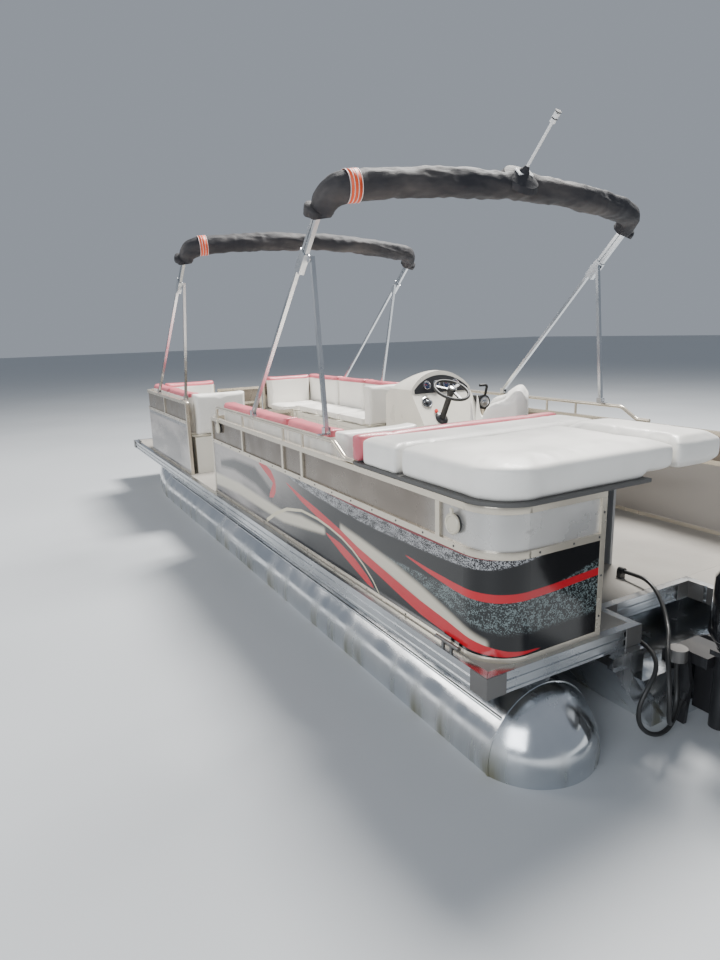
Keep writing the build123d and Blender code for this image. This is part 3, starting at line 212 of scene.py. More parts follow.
def tube_metal():
    g = Graph("tube_metal", (0.72, 0.74, 0.76), 0.2, metal=1.0)
    _, _, z = g.split()
    streak = g.noise(6.0, 6.0, (1.0, 1.0, 0.12))
    patch = g.noise(2.2, 4.0)
    marks = g.math("MULTIPLY", g.ramp(streak, 0.45, 0.7), g.ramp(z, 0.22, 0.0))
    clean = g.mix(g.ramp(patch, 0.3, 0.75), (0.62, 0.65, 0.68), (0.8, 0.81, 0.82))
    g.set("Base Color", g.mix(marks, clean, (0.36, 0.35, 0.27)))
    g.set("Roughness", g.math("ADD", g.ramp(streak, 0.3, 0.75, 0.1, 0.3),
                              g.math("MULTIPLY", marks, 0.25)))
    g.bump(patch, 0.25, 0.01)
    return g.mat


def brushed(name, base, rough, along, metal=1.0, spread=0.08):
    g = Graph(name, base, rough, metal=metal)
    grain = g.noise(60.0, 3.0, along)
    g.vary(spread, 2.5, 0.08)
    g.bump(grain, 0.12, 0.0006)
    return g.mat


def painted(name, base, rough, coat=0.3, spread=0.05, metal=0.0):
    g = Graph(name, base, rough, metal=metal, coat=coat)
    g.vary(spread, 3.0)
    g.bump(g.noise(140.0, 2.0), 0.06, 0.0006)
    return g.mat


def vinyl(name, base, accent=None, above=0.0):
    """Soft vinyl with a leather grain, and an accent colour above a height."""
    g = Graph(name, base, 0.42, coat=0.08, sheen=0.05)
    mottle = g.vary(0.05, 4.0, 0.08)
    if accent:
        _, _, z = g.split()
        edge = g.math("ADD", z, g.ramp(g.noise(1.3), 0.3, 0.7, -0.004, 0.004))
        cream = g.mix(mottle, tuple(c * 0.96 for c in base), base)
        faded = g.mix(g.ramp(g.noise(5.0), 0.35, 0.7), accent, tuple(min(1, c * 1.2) for c in accent))
        g.set("Base Color", g.mix(g.ramp(edge, above, above + 0.003), cream, faded))
    cells = g.node("TexVoronoi", {"Vector": g.coords, "Scale": 420.0}).outputs[0]
    g.bump(cells, 0.25, 0.0008)
    g.bump(g.noise(14.0, 3.0), 0.25, 0.004)
    return g.mat


def deck_floor():
    g = Graph("deck_floor", (0.33, 0.31, 0.28), 0.85)
    x, y, _ = g.split()
    weave_x = g.math("SINE", g.math("MULTIPLY", x, 1500.0))
    weave_y = g.math("SINE", g.math("MULTIPLY", y, 1500.0))
    weave = g.math("MULTIPLY", weave_x, weave_y)
    g.vary(0.1, 2.0, 0.05)
    g.bump(weave, 0.5, 0.001)
    return g.mat


def canvas(name, base):
    """Dark cloth, lighter in patches as painted reflection."""
    g = Graph(name, base, 0.7, sheen=0.03)
    x, y, z = g.split()
    # Random lighter patches: painted reflection on the dark cloth
    reflection_patches = g.ramp(g.noise(3.5, 6.0, (0.5, 1.6, 1.6)), 0.42, 0.75)
    g.set("Base Color", g.mix(reflection_patches, base, (0.07, 0.062, 0.06)))
    threads = g.math("MULTIPLY", g.math("SINE", g.math("MULTIPLY", x, 2400.0)),
                     g.math("SINE", g.math("MULTIPLY", g.math("ADD", y, z), 2400.0)))
    g.bump(threads, 0.3, 0.0006)
    g.bump(g.noise(9.0, 5.0, (0.6, 1.6, 1.6)), 0.5, 0.02)
    return g.mat


SKIRT_FOOT = up(0.025)
SKIRT_RISE = 0.446
BLACK, RED, DARK_RED = (0.006, 0.006, 0.007), (0.52, 0.012, 0.022), (0.16, 0.008, 0.014)
# The cream of the two streaks is painted reflection on the gloss paint; the cream line is print
PAINTED_REFLECTION, CREAM_LINE = (0.6, 0.55, 0.44), (0.62, 0.56, 0.4)
# Ribbons on the skirt: colour, edge softness, then knots of place round the skirt, height and
# half width as shares of its height, from stern to bow
RIBBONS = (
    (BLACK, 0.12, ((-1.35, 0.5, 0.03), (-1.0, 0.72, 0.1), (-0.5, 0.74, 0.05), (-0.1, 0.62, 0.0))),
    (PAINTED_REFLECTION, 0.09, ((-3.75, 0.1, 0.0), (-3.5, 0.2, 0.04), (-3.24, 0.32, 0.05), (-3.0, 0.41, 0.05),
                    (-2.68, 0.5, 0.04), (-2.39, 0.6, 0.0))),
    (PAINTED_REFLECTION, 0.08, ((-2.22, 0.42, 0.0), (-1.85, 0.36, 0.05), (-1.53, 0.27, 0.05),
                    (-1.1, 0.28, 0.06), (-0.6, 0.31, 0.07), (0.07, 0.24, 0.08))),
    (RED, 0.01, ((-4.05, 0.03, 0.0), (-3.85, 0.04, 0.025), (-3.65, 0.08, 0.05),
                 (-3.45, 0.12, 0.07), (-3.24, 0.16, 0.075), (-3.07, 0.22, 0.07),
                 (-2.84, 0.31, 0.06), (-2.61, 0.4, 0.055), (-2.41, 0.51, 0.05),
                 (-2.1, 0.63, 0.055), (-1.87, 0.72, 0.04), (-1.6, 0.87, 0.0))),
    (RED, 0.01, ((-2.8, 0.03, 0.0), (-2.72, 0.09, 0.05), (-2.58, 0.2, 0.07), (-2.4, 0.31, 0.06),
                 (-2.2, 0.41, 0.0))),
    (RED, 0.01, ((-4.7, 0.71, 0.035), (-4.42, 0.675, 0.035), (-4.1, 0.63, 0.035),
                 (-3.77, 0.61, 0.038), (-3.5, 0.61, 0.035), (-3.3, 0.635, 0.02),
                 (-3.1, 0.68, 0.0))),
    (RED, 0.012, ((-1.43, 0.72, 0.05), (-1.34, 0.86, 0.08), (-1.08, 1.04, 0.05))),
    (RED, 0.012, ((-1.43, 0.72, 0.05), (-1.36, 0.62, 0.11), (-1.26, 0.46, 0.0))),
    (DARK_RED, 0.01, ((-3.8, 1.0, 0.0), (-3.2, 0.985, 0.012), (-2.6, 0.985, 0.01),
                      (-2.2, 1.0, 0.0))),
    (CREAM_LINE, 0.012, ((-2.86, -0.02, 0.008), (-2.78, 0.13, 0.008), (-2.68, 0.26, 0.008),
                         (-2.55, 0.38, 0.008), (-2.42, 0.46, 0.009), (-2.27, 0.51, 0.01),
                         (-2.1, 0.545, 0.012), (-1.86, 0.54, 0.014), (-1.6, 0.43, 0.02),
                         (-1.39, 0.25, 0.024), (-1.17, 0.0, 0.03))),
)


def skirt_paint(name="skirt_paint"):
    """Gloss black with a silver front, two speckled bands, curved ribbons and two cream streaks of
    painted reflection.
    """
    g = Graph(name, BLACK, 0.1, coat=0.25)
    g.set("Specular IOR Level", 0.35)
    x, y, z = g.split()
    place = g.math("SUBTRACT", g.math("ADD", y, g.math("ABSOLUTE", x)), FENCE_HALF)
    height = g.math("DIVIDE", g.math("SUBTRACT", z, SKIRT_FOOT), SKIRT_RISE)

    def through(knots, which):
        value = knots[0][which]
        for a, b in zip(knots, knots[1:]):
            step = g.ramp(place, a[0], b[0], 0.0, b[which] - a[which], smooth=False)
            value = g.math("ADD", step, value)
        return value

    cloud = g.noise(1.6, 4.0, (1.0, 0.5, 1.6))
    silver = g.mix(g.ramp(cloud, 0.35, 0.65), (0.07, 0.062, 0.06), (0.36, 0.33, 0.31))
    front = g.ramp(g.math("ADD", place, g.math("MULTIPLY", height, 0.5)), -1.9, -0.5)
    colour = g.mix(front, BLACK, silver)
    fleck = g.math("MULTIPLY", g.noise(170.0, 2.0), g.ramp(g.noise(45.0, 3.0, (1, 0.3, 1)), 0.2,
                                                         0.8, 0.8, 1.2))
    grey = g.mix(g.ramp(fleck, 0.46, 0.56), (0.012, 0.012, 0.014), (0.36, 0.36, 0.37))
    dim = g.mix(g.ramp(fleck, 0.48, 0.6), (0.012, 0.014, 0.015), (0.16, 0.2, 0.2))
    upper_low = through(((-4.15, 1.03), (-3.77, 0.89), (-3.4, 0.83), (-2.85, 0.8), (-2.5, 0.81),
                         (-2.1, 0.86), (-1.75, 0.93), (-1.5, 1.03)), 1)
    colour = g.mix(g.ramp(g.math("SUBTRACT", height, upper_low), 0.0, 0.02), colour, grey)
    lower_top = through(((-4.6, 0.86), (-4.42, 0.84), (-4.2, 0.72), (-4.0, 0.62), (-3.5, 0.6),
                         (-3.3, 0.58), (-2.9, 0.56), (-2.5, 0.6)), 1)
    lower_foot = through(((-4.6, 0.2), (-4.0, 0.2), (-3.77, 0.22), (-3.5, 0.3), (-3.2, 0.42),
                          (-2.5, 0.6)), 1)
    lower = g.math("MULTIPLY", g.ramp(g.math("SUBTRACT", lower_top, height), 0.0, 0.03),
                   g.ramp(g.math("SUBTRACT", height, lower_foot), 0.0, 0.08))
    colour = g.mix(lower, colour, dim)
    # Print ribbons, and the two cream streaks of painted reflection
    for shade, soft, knots in RIBBONS:
        off = g.math("ABSOLUTE", g.math("SUBTRACT", height, through(knots, 1)))
        inside = g.ramp(g.math("SUBTRACT", off, through(knots, 2)), soft, 0.0)
        there = g.math("MULTIPLY", g.ramp(place, knots[0][0], knots[0][0] + 0.04),
                       g.ramp(place, knots[-1][0], knots[-1][0] - 0.04))
        colour = g.mix(g.math("MULTIPLY", inside, there), colour, shade)
    # The inner faces are plain
    way = g.node("SeparateXYZ", {0: g.node("TexCoord").outputs["Normal"]}).outputs
    ends = g.ramp(y, fore(2.0), fore(5.0), -1.0, 1.0, smooth=False)
    facing = g.math("ADD", g.math("MULTIPLY", way[0], g.math("SIGN", x)),
                    g.math("MULTIPLY", way[1], ends))
    colour = g.mix(g.ramp(facing, 0.1, 0.3), (0.3, 0.28, 0.26), colour)
    g.set("Base Color", colour)
    g.set("Roughness", g.ramp(g.noise(3.0), 0.3, 0.7, 0.08, 0.18))
    g.bump(g.noise(2.4, 2.0), 0.12, 0.006)
    return g.mat


def panel_paint():
    """Champagne metallic: a darker copy along the sides as painted shade, the lit copy by the stern,
    and random dark streaks of grime.
    """
    g = Graph("panel_paint", (0.4, 0.36, 0.31), 0.3, metal=0.6, coat=0.15)
    x, y, z = g.split()
    sweep = g.noise(0.9, 3.0, (1.0, 0.35, 2.0))
    # By the stern the lit copy of the champagne, along the sides a darker copy as painted shade
    stern = g.ramp(y, fore(0.6), fore(0.15))
    side = g.mix(g.ramp(sweep, 0.3, 0.7), (0.14, 0.115, 0.095), (0.3, 0.26, 0.215))
    lit_copy = g.mix(g.ramp(sweep, 0.3, 0.7), (0.52, 0.51, 0.49), (0.72, 0.7, 0.67))
    grime = g.ramp(g.noise(12.0, 5.0, (1, 0.25, 1)), 0.62, 0.78, 0.0, 0.5)
    g.set("Base Color", g.mix(grime, g.mix(stern, side, lit_copy), (0.1, 0.09, 0.08)))
    g.set("Roughness", g.ramp(g.noise(5.0), 0.3, 0.7, 0.22, 0.4))
    g.bump(g.noise(1.5, 2.0), 0.15, 0.008)
    return g.mat


CREAM, PINK = (0.87, 0.85, 0.8), (0.58, 0.13, 0.16)
materials = {
    "tube_metal": tube_metal(),
    "frame_metal": brushed("frame_metal", (0.35, 0.36, 0.37), 0.45, (0.05, 1, 1)),
    "rail_metal": brushed("rail_metal", (0.6, 0.62, 0.64), 0.28, (1, 0.03, 1)),
    "cap_metal": painted("cap_metal", (0.16, 0.155, 0.15), 0.4, metal=0.6),
    "fence_metal": painted("fence_metal", (0.62, 0.56, 0.46), 0.24, metal=0.55, coat=0.2),
    "skirt_paint": skirt_paint(),
    "panel_paint": panel_paint(),
    "hinge_steel": brushed("hinge_steel", (0.66, 0.66, 0.67), 0.22, (1, 1, 0.05)),
    "deck_floor": deck_floor(),
    "moulded_cream": painted("moulded_cream", (0.74, 0.71, 0.63), 0.32, coat=0.25),
    "moulded_grey": painted("moulded_grey", (0.36, 0.37, 0.39), 0.5, coat=0.0),
    "vinyl_cream": vinyl("vinyl_cream", CREAM),
    "vinyl_pink": vinyl("vinyl_pink", PINK),
    "dash_black": painted("dash_black", (0.025, 0.025, 0.028), 0.4, coat=0.1),
    "wheel_black": painted("wheel_black", (0.02, 0.02, 0.02), 0.5, coat=0.0),
    "boot_fabric": canvas("boot_fabric", (0.014, 0.014, 0.019)),
    "light_white": painted("light_white", (0.8, 0.8, 0.8), 0.25),
    "outboard_black": painted("outboard_black", (0.02, 0.02, 0.022), 0.35, coat=0.3),
    "cowl_black": painted("cowl_black", (0.012, 0.012, 0.014), 0.12, coat=0.9),
    "hose_rubber": painted("hose_rubber", (0.02, 0.02, 0.02), 0.45, coat=0.05),
}


def dress_nodes():
    for row in frame["record"]["subparts"]:
        mesh = nodes[row["node"]].data
        mesh.materials.clear()
        mesh.materials.append(materials[row["material_slot"]])
    # The tray is painted near black so that it reads as the shade in the gap under the cushions:
    # painted shade.
    nodes["sun_pad_tray"].data.materials[0] = painted("tray_painted_shade", (0.09, 0.088, 0.085), 0.6, coat=0.0)


def soften(node, width, segments=2, angle=35.0):
    """Rounds a CAD node's edges with modifiers."""
    obj = nodes[node]
    weld = obj.modifiers.new("weld", "WELD")
    weld.merge_threshold = 0.00005
    bevel = obj.modifiers.new("bevel", "BEVEL")
    bevel.width, bevel.segments = width, segments
    bevel.limit_method, bevel.angle_limit = "ANGLE", math.radians(angle)
    bevel.harden_normals = False


# Mesh helpers


def new_object(name, mesh, body, slot, mat=None, smooth=True):
    obj = bpy.data.objects.new(name, mesh)
    bpy.context.collection.objects.link(obj)
    mesh.materials.clear()
    mesh.materials.append(mat or materials[slot])
    for face in mesh.polygons:
        face.use_smooth = smooth
    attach(obj, body)
    return obj


def from_bmesh(name, bm, body, slot, mat=None, smooth=True):
    mesh = bpy.data.meshes.new(name)
    bm.normal_update()
    bm.to_mesh(mesh)
    bm.free()
    return new_object(name, mesh, body, slot, mat, smooth)


def add_ring_tube(bm, rings, closed=False, capped=True):
    """Faces between rings of points, one ring after another."""
    loops = [[bm.verts.new(p) for p in ring] for ring in rings]
    count = len(loops[0])
    pairs = list(zip(loops, loops[1:])) + ([(loops[-1], loops[0])] if closed else [])
    for a, b in pairs:
        for i in range(count):
            j = (i + 1) % count
            bm.faces.new((a[i], a[j], b[j], b[i]))
    if capped and not closed:
        bm.faces.new(list(reversed(loops[0])))
        bm.faces.new(loops[-1])


def frames_along(points, closed=False):
    """Steady side and up directions at each point of a path."""
    points = [Vector(p) for p in points]
    count = len(points)
    ways = []
    for i in range(count):
        a = points[i - 1] if i or closed else points[0]
        b = points[(i + 1) % count] if i < count - 1 or closed else points[-1]
        ways.append((b - a).normalized())
    side = ways[0].orthogonal().normalized()
    frames = []
    for way in ways:
        side = (side - way * side.dot(way)).normalized()
        frames.append((side, way.cross(side)))
    return points, frames


def tube_mesh(bm, path, radius, sides=10, closed=False):
    points, frames = frames_along(path, closed)
    rings = []
    for i, (point, (side, other)) in enumerate(zip(points, frames)):
        r = radius(i / max(1, len(points) - 1)) if callable(radius) else radius
        ring = []
        for k in range(sides):
            a = 2 * math.pi * k / sides
            ring.append(point + side * (r * math.cos(a)) + other * (r * math.sin(a)))
        rings.append(ring)
    add_ring_tube(bm, rings, closed)


def add_lathe(bm, centre, axis, profile, sides=20):
    """A turned form: profile is (radius, distance along the axis) from one end to the other."""
    axis = Vector(axis).normalized()
    side = axis.orthogonal().normalized()
    other = axis.cross(side)
    rings = []
    for r, along in profile:
        base = Vector(centre) + axis * along
        rings.append([base + side * (r * math.cos(2 * math.pi * k / sides))
                      + other * (r * math.sin(2 * math.pi * k / sides)) for k in range(sides)])
    add_ring_tube(bm, rings)


def resample(points, step, closed=True):
    points = [Vector(p) for p in points]
    if closed:
        points = points + [points[0]]
    out = []
    for a, b in zip(points, points[1:]):
        count = max(1, round((b - a).length / step))
        out += [a.lerp(b, i / count) for i in range(count)]
    if not closed:
        out.append(points[-1])
    return out


# Cushions: cut from their CAD solids, remeshed, then blown up by a cloth simulation

SIM_FRAMES = 20
pads = []


def cut_cell(node, x_range, y_range, z_range=(-9, 9)):
    bm = bmesh.new()
    bm.from_mesh(nodes[node].data)
    bmesh.ops.remove_doubles(bm, verts=bm.verts, dist=1e-5)
    for axis, limits in enumerate((x_range, y_range, z_range)):
        for limit, sign in zip(limits, (-1, 1)):
            place, normal = Vector((0, 0, 0)), Vector((0, 0, 0))
            place[axis], normal[axis] = limit, sign
            geom = bm.verts[:] + bm.edges[:] + bm.faces[:]
            cut = bmesh.ops.bisect_plane(bm, geom=geom, plane_co=place, plane_no=normal,
                                         clear_outer=True)
            edges = [e for e in cut["geom_cut"] if isinstance(e, bmesh.types.BMEdge)]
            if edges:
                bmesh.ops.holes_fill(bm, edges=edges)
    bmesh.ops.remove_doubles(bm, verts=bm.verts, dist=1e-5)
    bmesh.ops.recalc_face_normals(bm, faces=bm.faces)
    return bm


def top_outline(bm):
    """The ordered outline of the solid's highest flat face."""
    top = max(v.co.z for v in bm.verts)
    faces = [f for f in bm.faces if f.normal.z > 0.9 and abs(f.calc_center_median().z - top) < 1e-3]
    chosen = set(faces)
    links = {}
    for f in faces:
        for e in f.edges:
            if sum(1 for g in e.link_faces if g in chosen) == 1:
                a, b = e.verts
                links.setdefault(a, []).append(b)
                links.setdefault(b, []).append(a)
    start = next(iter(links))
    loop, before, here = [start.co.copy()], None, start
    while True:
        step = [v for v in links[here] if v is not before]
        before, here = here, step[0]
        if here is start:
            return loop
        loop.append(here.co.copy())


def simplify(loop, least=0.004):
    """Drops points in line with their neighbours."""
    keep = []
    for i, p in enumerate(loop):
        a, b = loop[i - 1], loop[(i + 1) % len(loop)]
        way = (b - a)
        if way.length < 1e-6 or (p - a).cross(way).length / way.length > least:
            keep.append(p)
    return keep if len(keep) > 2 else loop


def pad(name, node, cell, inset=0.010, cap=0.016, voxel=0.014, body="hull", slot="vinyl_cream",
        mat=None, sub=0, welt=0.0045, rounds=2, drop=0.0, crown=0.0):
    """Cuts one cushion from a CAD solid and queues it for the simulation.

    rounds smooths its edges, drop lowers its underside and crown raises its middle.
    """
    bm = cut_cell(node, *cell)
    low = Vector([min(v.co[i] for v in bm.verts) for i in range(3)])
    high = Vector([max(v.co[i] for v in bm.verts) for i in range(3)])
    outline = simplify(top_outline(bm))
    centre = (low + high) / 2
    for v in bm.verts:
        for i in range(3):
            size = high[i] - low[i]
            v.co[i] = centre[i] + (v.co[i] - centre[i]) * (size - 2 * inset) / size
    for v in bm.verts:
        if v.co.z < centre.z:
            v.co.z -= drop
    obj = from_bmesh(name, bm, body, slot, mat)
    remesh = obj.modifiers.new("remesh", "REMESH")
    remesh.mode, remesh.voxel_size = "VOXEL", voxel
    smooth = obj.modifiers.new("smooth", "SMOOTH")
    smooth.factor, smooth.iterations = 0.5, rounds
    bake(obj)
    for v in obj.data.vertices:
        if crown and v.co.z > centre.z:
            across = [2 * (v.co[i] - centre[i]) / (high[i] - low[i]) for i in range(2)]
            v.co.z += crown * (1 - min(1, abs(across[0])) ** 4) * (1 - min(1, abs(across[1])) ** 4)
    low.z -= drop
    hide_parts(node)
    pads.append(dict(obj=obj, low=low, high=high, cap=cap, outline=outline, sub=sub, welt=welt,
                     body=body, slot=slot, mat=mat))
    return obj


def bake(obj):
    """Replaces an object's mesh by its evaluated one and clears its modifiers."""
    depsgraph = bpy.context.evaluated_depsgraph_get()
    made = bpy.data.meshes.new_from_object(obj.evaluated_get(depsgraph))
    obj.modifiers.clear()
    old = obj.data
    obj.data = made
    bpy.data.meshes.remove(old)
    for face in obj.data.polygons:
        face.use_smooth = True


def coordinates(mesh):
    flat = np.empty(len(mesh.vertices) * 3)
    mesh.vertices.foreach_get("co", flat)
    return flat.reshape(-1, 3)


def inflate_pads():
    """Blows the queued cushions up together, caps how far they move and rests them flat."""
    scene = bpy.context.scene
    before = [coordinates(p["obj"].data) for p in pads]
    for p in pads:
        cloth = p["obj"].modifiers.new("cloth", "CLOTH")
        cloth.settings.quality = 4
        cloth.settings.mass = 0.3
        cloth.settings.tension_stiffness = 12
        cloth.settings.compression_stiffness = 12
        cloth.settings.bending_stiffness = 0.6
        cloth.settings.use_pressure = True
        cloth.settings.uniform_pressure_force = 4.0
        cloth.settings.effector_weights.gravity = 0.0
        cloth.collision_settings.use_collision = False
        cloth.point_cache.frame_start, cloth.point_cache.frame_end = 1, SIM_FRAMES
    for number in range(1, SIM_FRAMES + 1):
        scene.frame_set(number)
    for p, start in zip(pads, before):
        bake(p["obj"])
        after = coordinates(p["obj"].data)
        move = after - start
        length = np.linalg.norm(move, axis=1, keepdims=True)
        after = start + move * np.minimum(1.0, p["cap"] / np.maximum(length, 1e-9))
        low, high = np.array(p["low"]), np.array(p["high"])
        after[:, 2] = np.maximum(after[:, 2], low[2] + 0.0005)
        side_room = 0.004
        after[:, :2] = np.clip(after[:, :2], low[:2] - side_room, high[:2] + side_room)
        p["obj"].data.vertices.foreach_set("co", after.ravel())
        p["obj"].data.update()
        if p["sub"]:
            smooth = p["obj"].modifiers.new("subdivision", "SUBSURF")
            smooth.levels = smooth.render_levels = p["sub"]
            bake(p["obj"])
    scene.frame_set(1)


def add_welts():
    """A piped seam round each cushion's upper edge, laid on the blown-up surface."""
    groups = {}
    for p in pads:
        if p["welt"]:
            groups.setdefault((p["body"], p["slot"], p["mat"]), []).append(p)
    for (body, slot, mat), members in groups.items():
        bm = bmesh.new()
        for p in members:
            tree = BVHTree.FromObject(p["obj"], bpy.context.evaluated_depsgraph_get())
            inner = Vector((sum(q.x for q in p["outline"]), sum(q.y for q in p["outline"]), 0))
            inner = inner / len(p["outline"])
            line = []
            for q in resample(p["outline"], 0.03):
                q = q + Vector((0, 0, -0.006))
                found = tree.find_nearest(q)
                line.append(found[0] + found[1] * 0.0005)
            tube_mesh(bm, line, p["welt"], 8, closed=True)
        name = f"{slot}_piping_{body}" + ("_accent" if mat else "")
        from_bmesh(name, bm, body, slot, mat)


BACK_TOP = up(0.85)
accent_vinyl = vinyl("vinyl_two_tone", CREAM, PINK, BACK_TOP - 0.07)
ANY = (-9, 9)
# The sun pad's cushions hang over its tray, down to just above the fence
PAD_DROP = 0.014


def make_cushions():
    # Sun pad: three deep cushions and the front bolster
    split, seam = fore(0.75), -0.15
    for side, x_range in (("port", (-9, seam)), ("starboard", (seam, 9))):
        pad(f"sun_cushion_{side}", "sun_pad_cushions", (x_range, (-9, split)), 0.008, 0.02, 0.016,
            sub=1, welt=0, rounds=14, drop=PAD_DROP, crown=0.012)
    pad("sun_cushion_forward", "sun_pad_cushions", (ANY, (split, 9)), 0.008, 0.01, 0.014, sub=1,
        welt=0, rounds=18, drop=PAD_DROP)
    pad("sun_bolster", "sun_pad_bolster", (ANY, ANY), 0.005, 0.02, slot="vinyl_pink", welt=0,
        rounds=8, crown=0.006)
    # Seats: name, x range, y range
    seats = (
        ("mid_aft", (-9, 0), (-9, -1.55)), ("mid_centre", (-9, 0), (-1.55, -0.8)),
        ("mid_front", (-9, 0), (-0.8, 0.5)), ("bow_port_aft", (-9, 0), (0.5, 1.7)),
        ("bow_port_mid", (-9, 0), (1.7, 2.3)), ("bow_port_corner", (-9, 0), (2.3, 9)),
        ("bow_starboard_aft", (0, 9), (-9, 1.15)), ("bow_starboard_mid", (0, 9), (1.15, 1.75)),
        ("bow_starboard_front", (0, 9), (1.75, 2.3)), ("bow_starboard_corner", (0, 9), (2.3, 9)),
    )
    for name, x_range, y_range in seats:
        pad(f"seat_{name}", "lounge_seats", (x_range, y_range))
    # Backs along the sides and the bow, then the backs across the lounges' aft ends
    wall = 1.025
    backs = (
        ("mid_aft", (-9, -wall), (-2.155, -1.45)), ("mid_centre", (-9, -wall), (-1.45, -0.75)),
        ("mid_front", (-9, -wall), (-0.75, 0.5)), ("mid_end", (-9, 0), (-9, -2.1551)),
        ("bow_port_side", (-9, -wall), (1.11, 2.0)), ("bow_port_corner", (-9, -wall), (2.0, 9)),
        ("bow_port_front", (-wall, 0), (2.3, 9)), ("bow_port_end", (-9, 0), (0.5, 1.1099)),
        ("bow_starboard_side", (wall, 9), (0.545, 1.3)), ("bow_starboard_mid", (wall, 9), (1.3, 2.0)),
        ("bow_starboard_corner", (wall, 9), (2.0, 9)), ("bow_starboard_front", (0, wall), (2.3, 9)),
        ("bow_starboard_end", (0, 9), (-9, 0.5449)),
    )
    for name, x_range, y_range in backs:
        pad(f"back_{name}", "lounge_backs", (x_range, y_range), 0.008, 0.02, rounds=8, welt=0,
            mat=accent_vinyl if "end" not in name else None)
    pad("chair_seat_pad", "chair_seat", (ANY, ANY), body="chair", rounds=6)
    pad("chair_back_pad", "chair_back", (ANY, ANY), 0.008, 0.018, body="chair", rounds=6, welt=0)
    inflate_pads()
    add_welts()


# Awning boots: wrinkled sleeves round the folded tubes, with a striped band at the port corner

AWNING_HALF = FENCE_HALF - FENCE_TUBE / 2
AWNING_BEND = 0.17
AWNING_CROWN = 0.175
CROWN_RADIUS = 6.0
BOOT_RADIUS = 0.085
# name, leg foot and seat height, corner's place and height
AWNINGS = (("aft", (2.78, 0.81), (1.445, 2.18)), ("forward", (5.94, 0.765), (4.278, 2.213)))
FOOT_PIVOT = 0.03
BUNDLE_PITCH = 0.033


def rounded(corners, radii, step):
    """Points along straight runs joined by arcs."""
    corners = [Vector(c) for c in corners]
    points = [corners[0]]
    for before, here, after, radius in zip(corners, corners[1:], corners[2:], radii):
        back, on = (before - here).normalized(), (after - here).normalized()
        half = back.angle(on) / 2
        reach = radius / math.tan(half)
        centre = here + (back + on).normalized() * (radius / math.sin(half))
        start = (here + back * reach - centre).normalized()
        end = (here + on * reach - centre).normalized()
        count = max(2, round(radius * (math.pi - 2 * half) / step))
        points += [centre + start.slerp(end, i / count) * radius for i in range(count + 1)]
    return resample(points + [corners[-1]], step, closed=False)


def arch_path(foot_at, corner_at, drop, step=0.012):
    """Points of a boot's centreline, from its port end over the crown to starboard."""
    foot = Vector((0, fore(foot_at[0]), up(foot_at[1]) + FOOT_PIVOT))
    corner = Vector((0, fore(corner_at[0]), up(corner_at[1])))
    lean = (corner - foot).normalized()
    corner = corner + Vector((0, -lean.z, lean.y)) * BUNDLE_PITCH / 2
    side = Vector((AWNING_HALF, 0, 0))
    low = corner - lean * drop
    path = rounded((low - side, corner - side, corner + lean * AWNING_CROWN, corner + side,
                    low + side), (AWNING_BEND, CROWN_RADIUS, AWNING_BEND), step)
    return path, lean


# The boot's ends sag inboard off the tubes and stop short of the solid boot's
BOOT_START = 0.12
BOOT_SAG = 0.034
BOOT_SIDES = 48
# Band of three orange stripes at the port corner: place across the boat and width
BAND_X = -1.09
BAND_WIDTH = 0.07
BAND_LINE = 0.005


def make_boots():
    for name, foot_at, arch_at in AWNINGS:
        body = f"awning_{name}"
        path, lean = arch_path(foot_at, arch_at, BOOT_START)
        points, _ = frames_along(path)
        back = Vector((0, -lean.z, lean.y))
        count = len(points)

        def section(i, swell=1.0, slide=0.0):
            """One ring of the creased sleeve, swollen a little for the band."""
            p = points[i]
            way = (points[min(i + 1, count - 1)] - points[max(i - 1, 0)]).normalized()
            out = way.cross(back).normalized() * (-1)
            end = min(1.0, min(i, count - 1 - i) / 16)
            neck = 0.66 + 0.34 * end ** 0.5
            centre = p + way * slide - out * BOOT_SAG * (1 - end) ** 2
            tied = min(1.0, abs(p.x - BAND_X) / 0.08)
            ring = []
            for k in range(BOOT_SIDES):
                a = 2 * math.pi * k / BOOT_SIDES
                way_out = out * math.cos(a) + back * math.sin(a)
                where = p + way_out * BOOT_RADIUS
                fold = noise.noise(Vector((where.x * 4.0, math.cos(a) * 1.3, math.sin(a) * 1.3)))
                ripple = noise.noise(where * 17.0)
                crease = abs(noise.noise(Vector((where.x * 9.0, where.y * 9.0 + 2.0 * where.x,
                                                 where.z * 6.0))))
                pleat = abs(noise.noise(Vector((where.x * 3.0 + math.cos(a), math.sin(a) * 1.8,
                                                9.0))))
                depth = 0.10 * fold + 0.05 * ripple - 0.14 * crease - 0.12 * pleat
                ring.append(centre + way_out * BOOT_RADIUS * neck * swell * (1.0 + tied * depth))
            return ring

        bm = bmesh.new()
        add_ring_tube(bm, [section(i) for i in range(count)])
        boot = from_bmesh(f"{body}_cover", bm, body, "boot_fabric")
        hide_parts(f"{body}_boot")
        make_band(name, body, points, section)


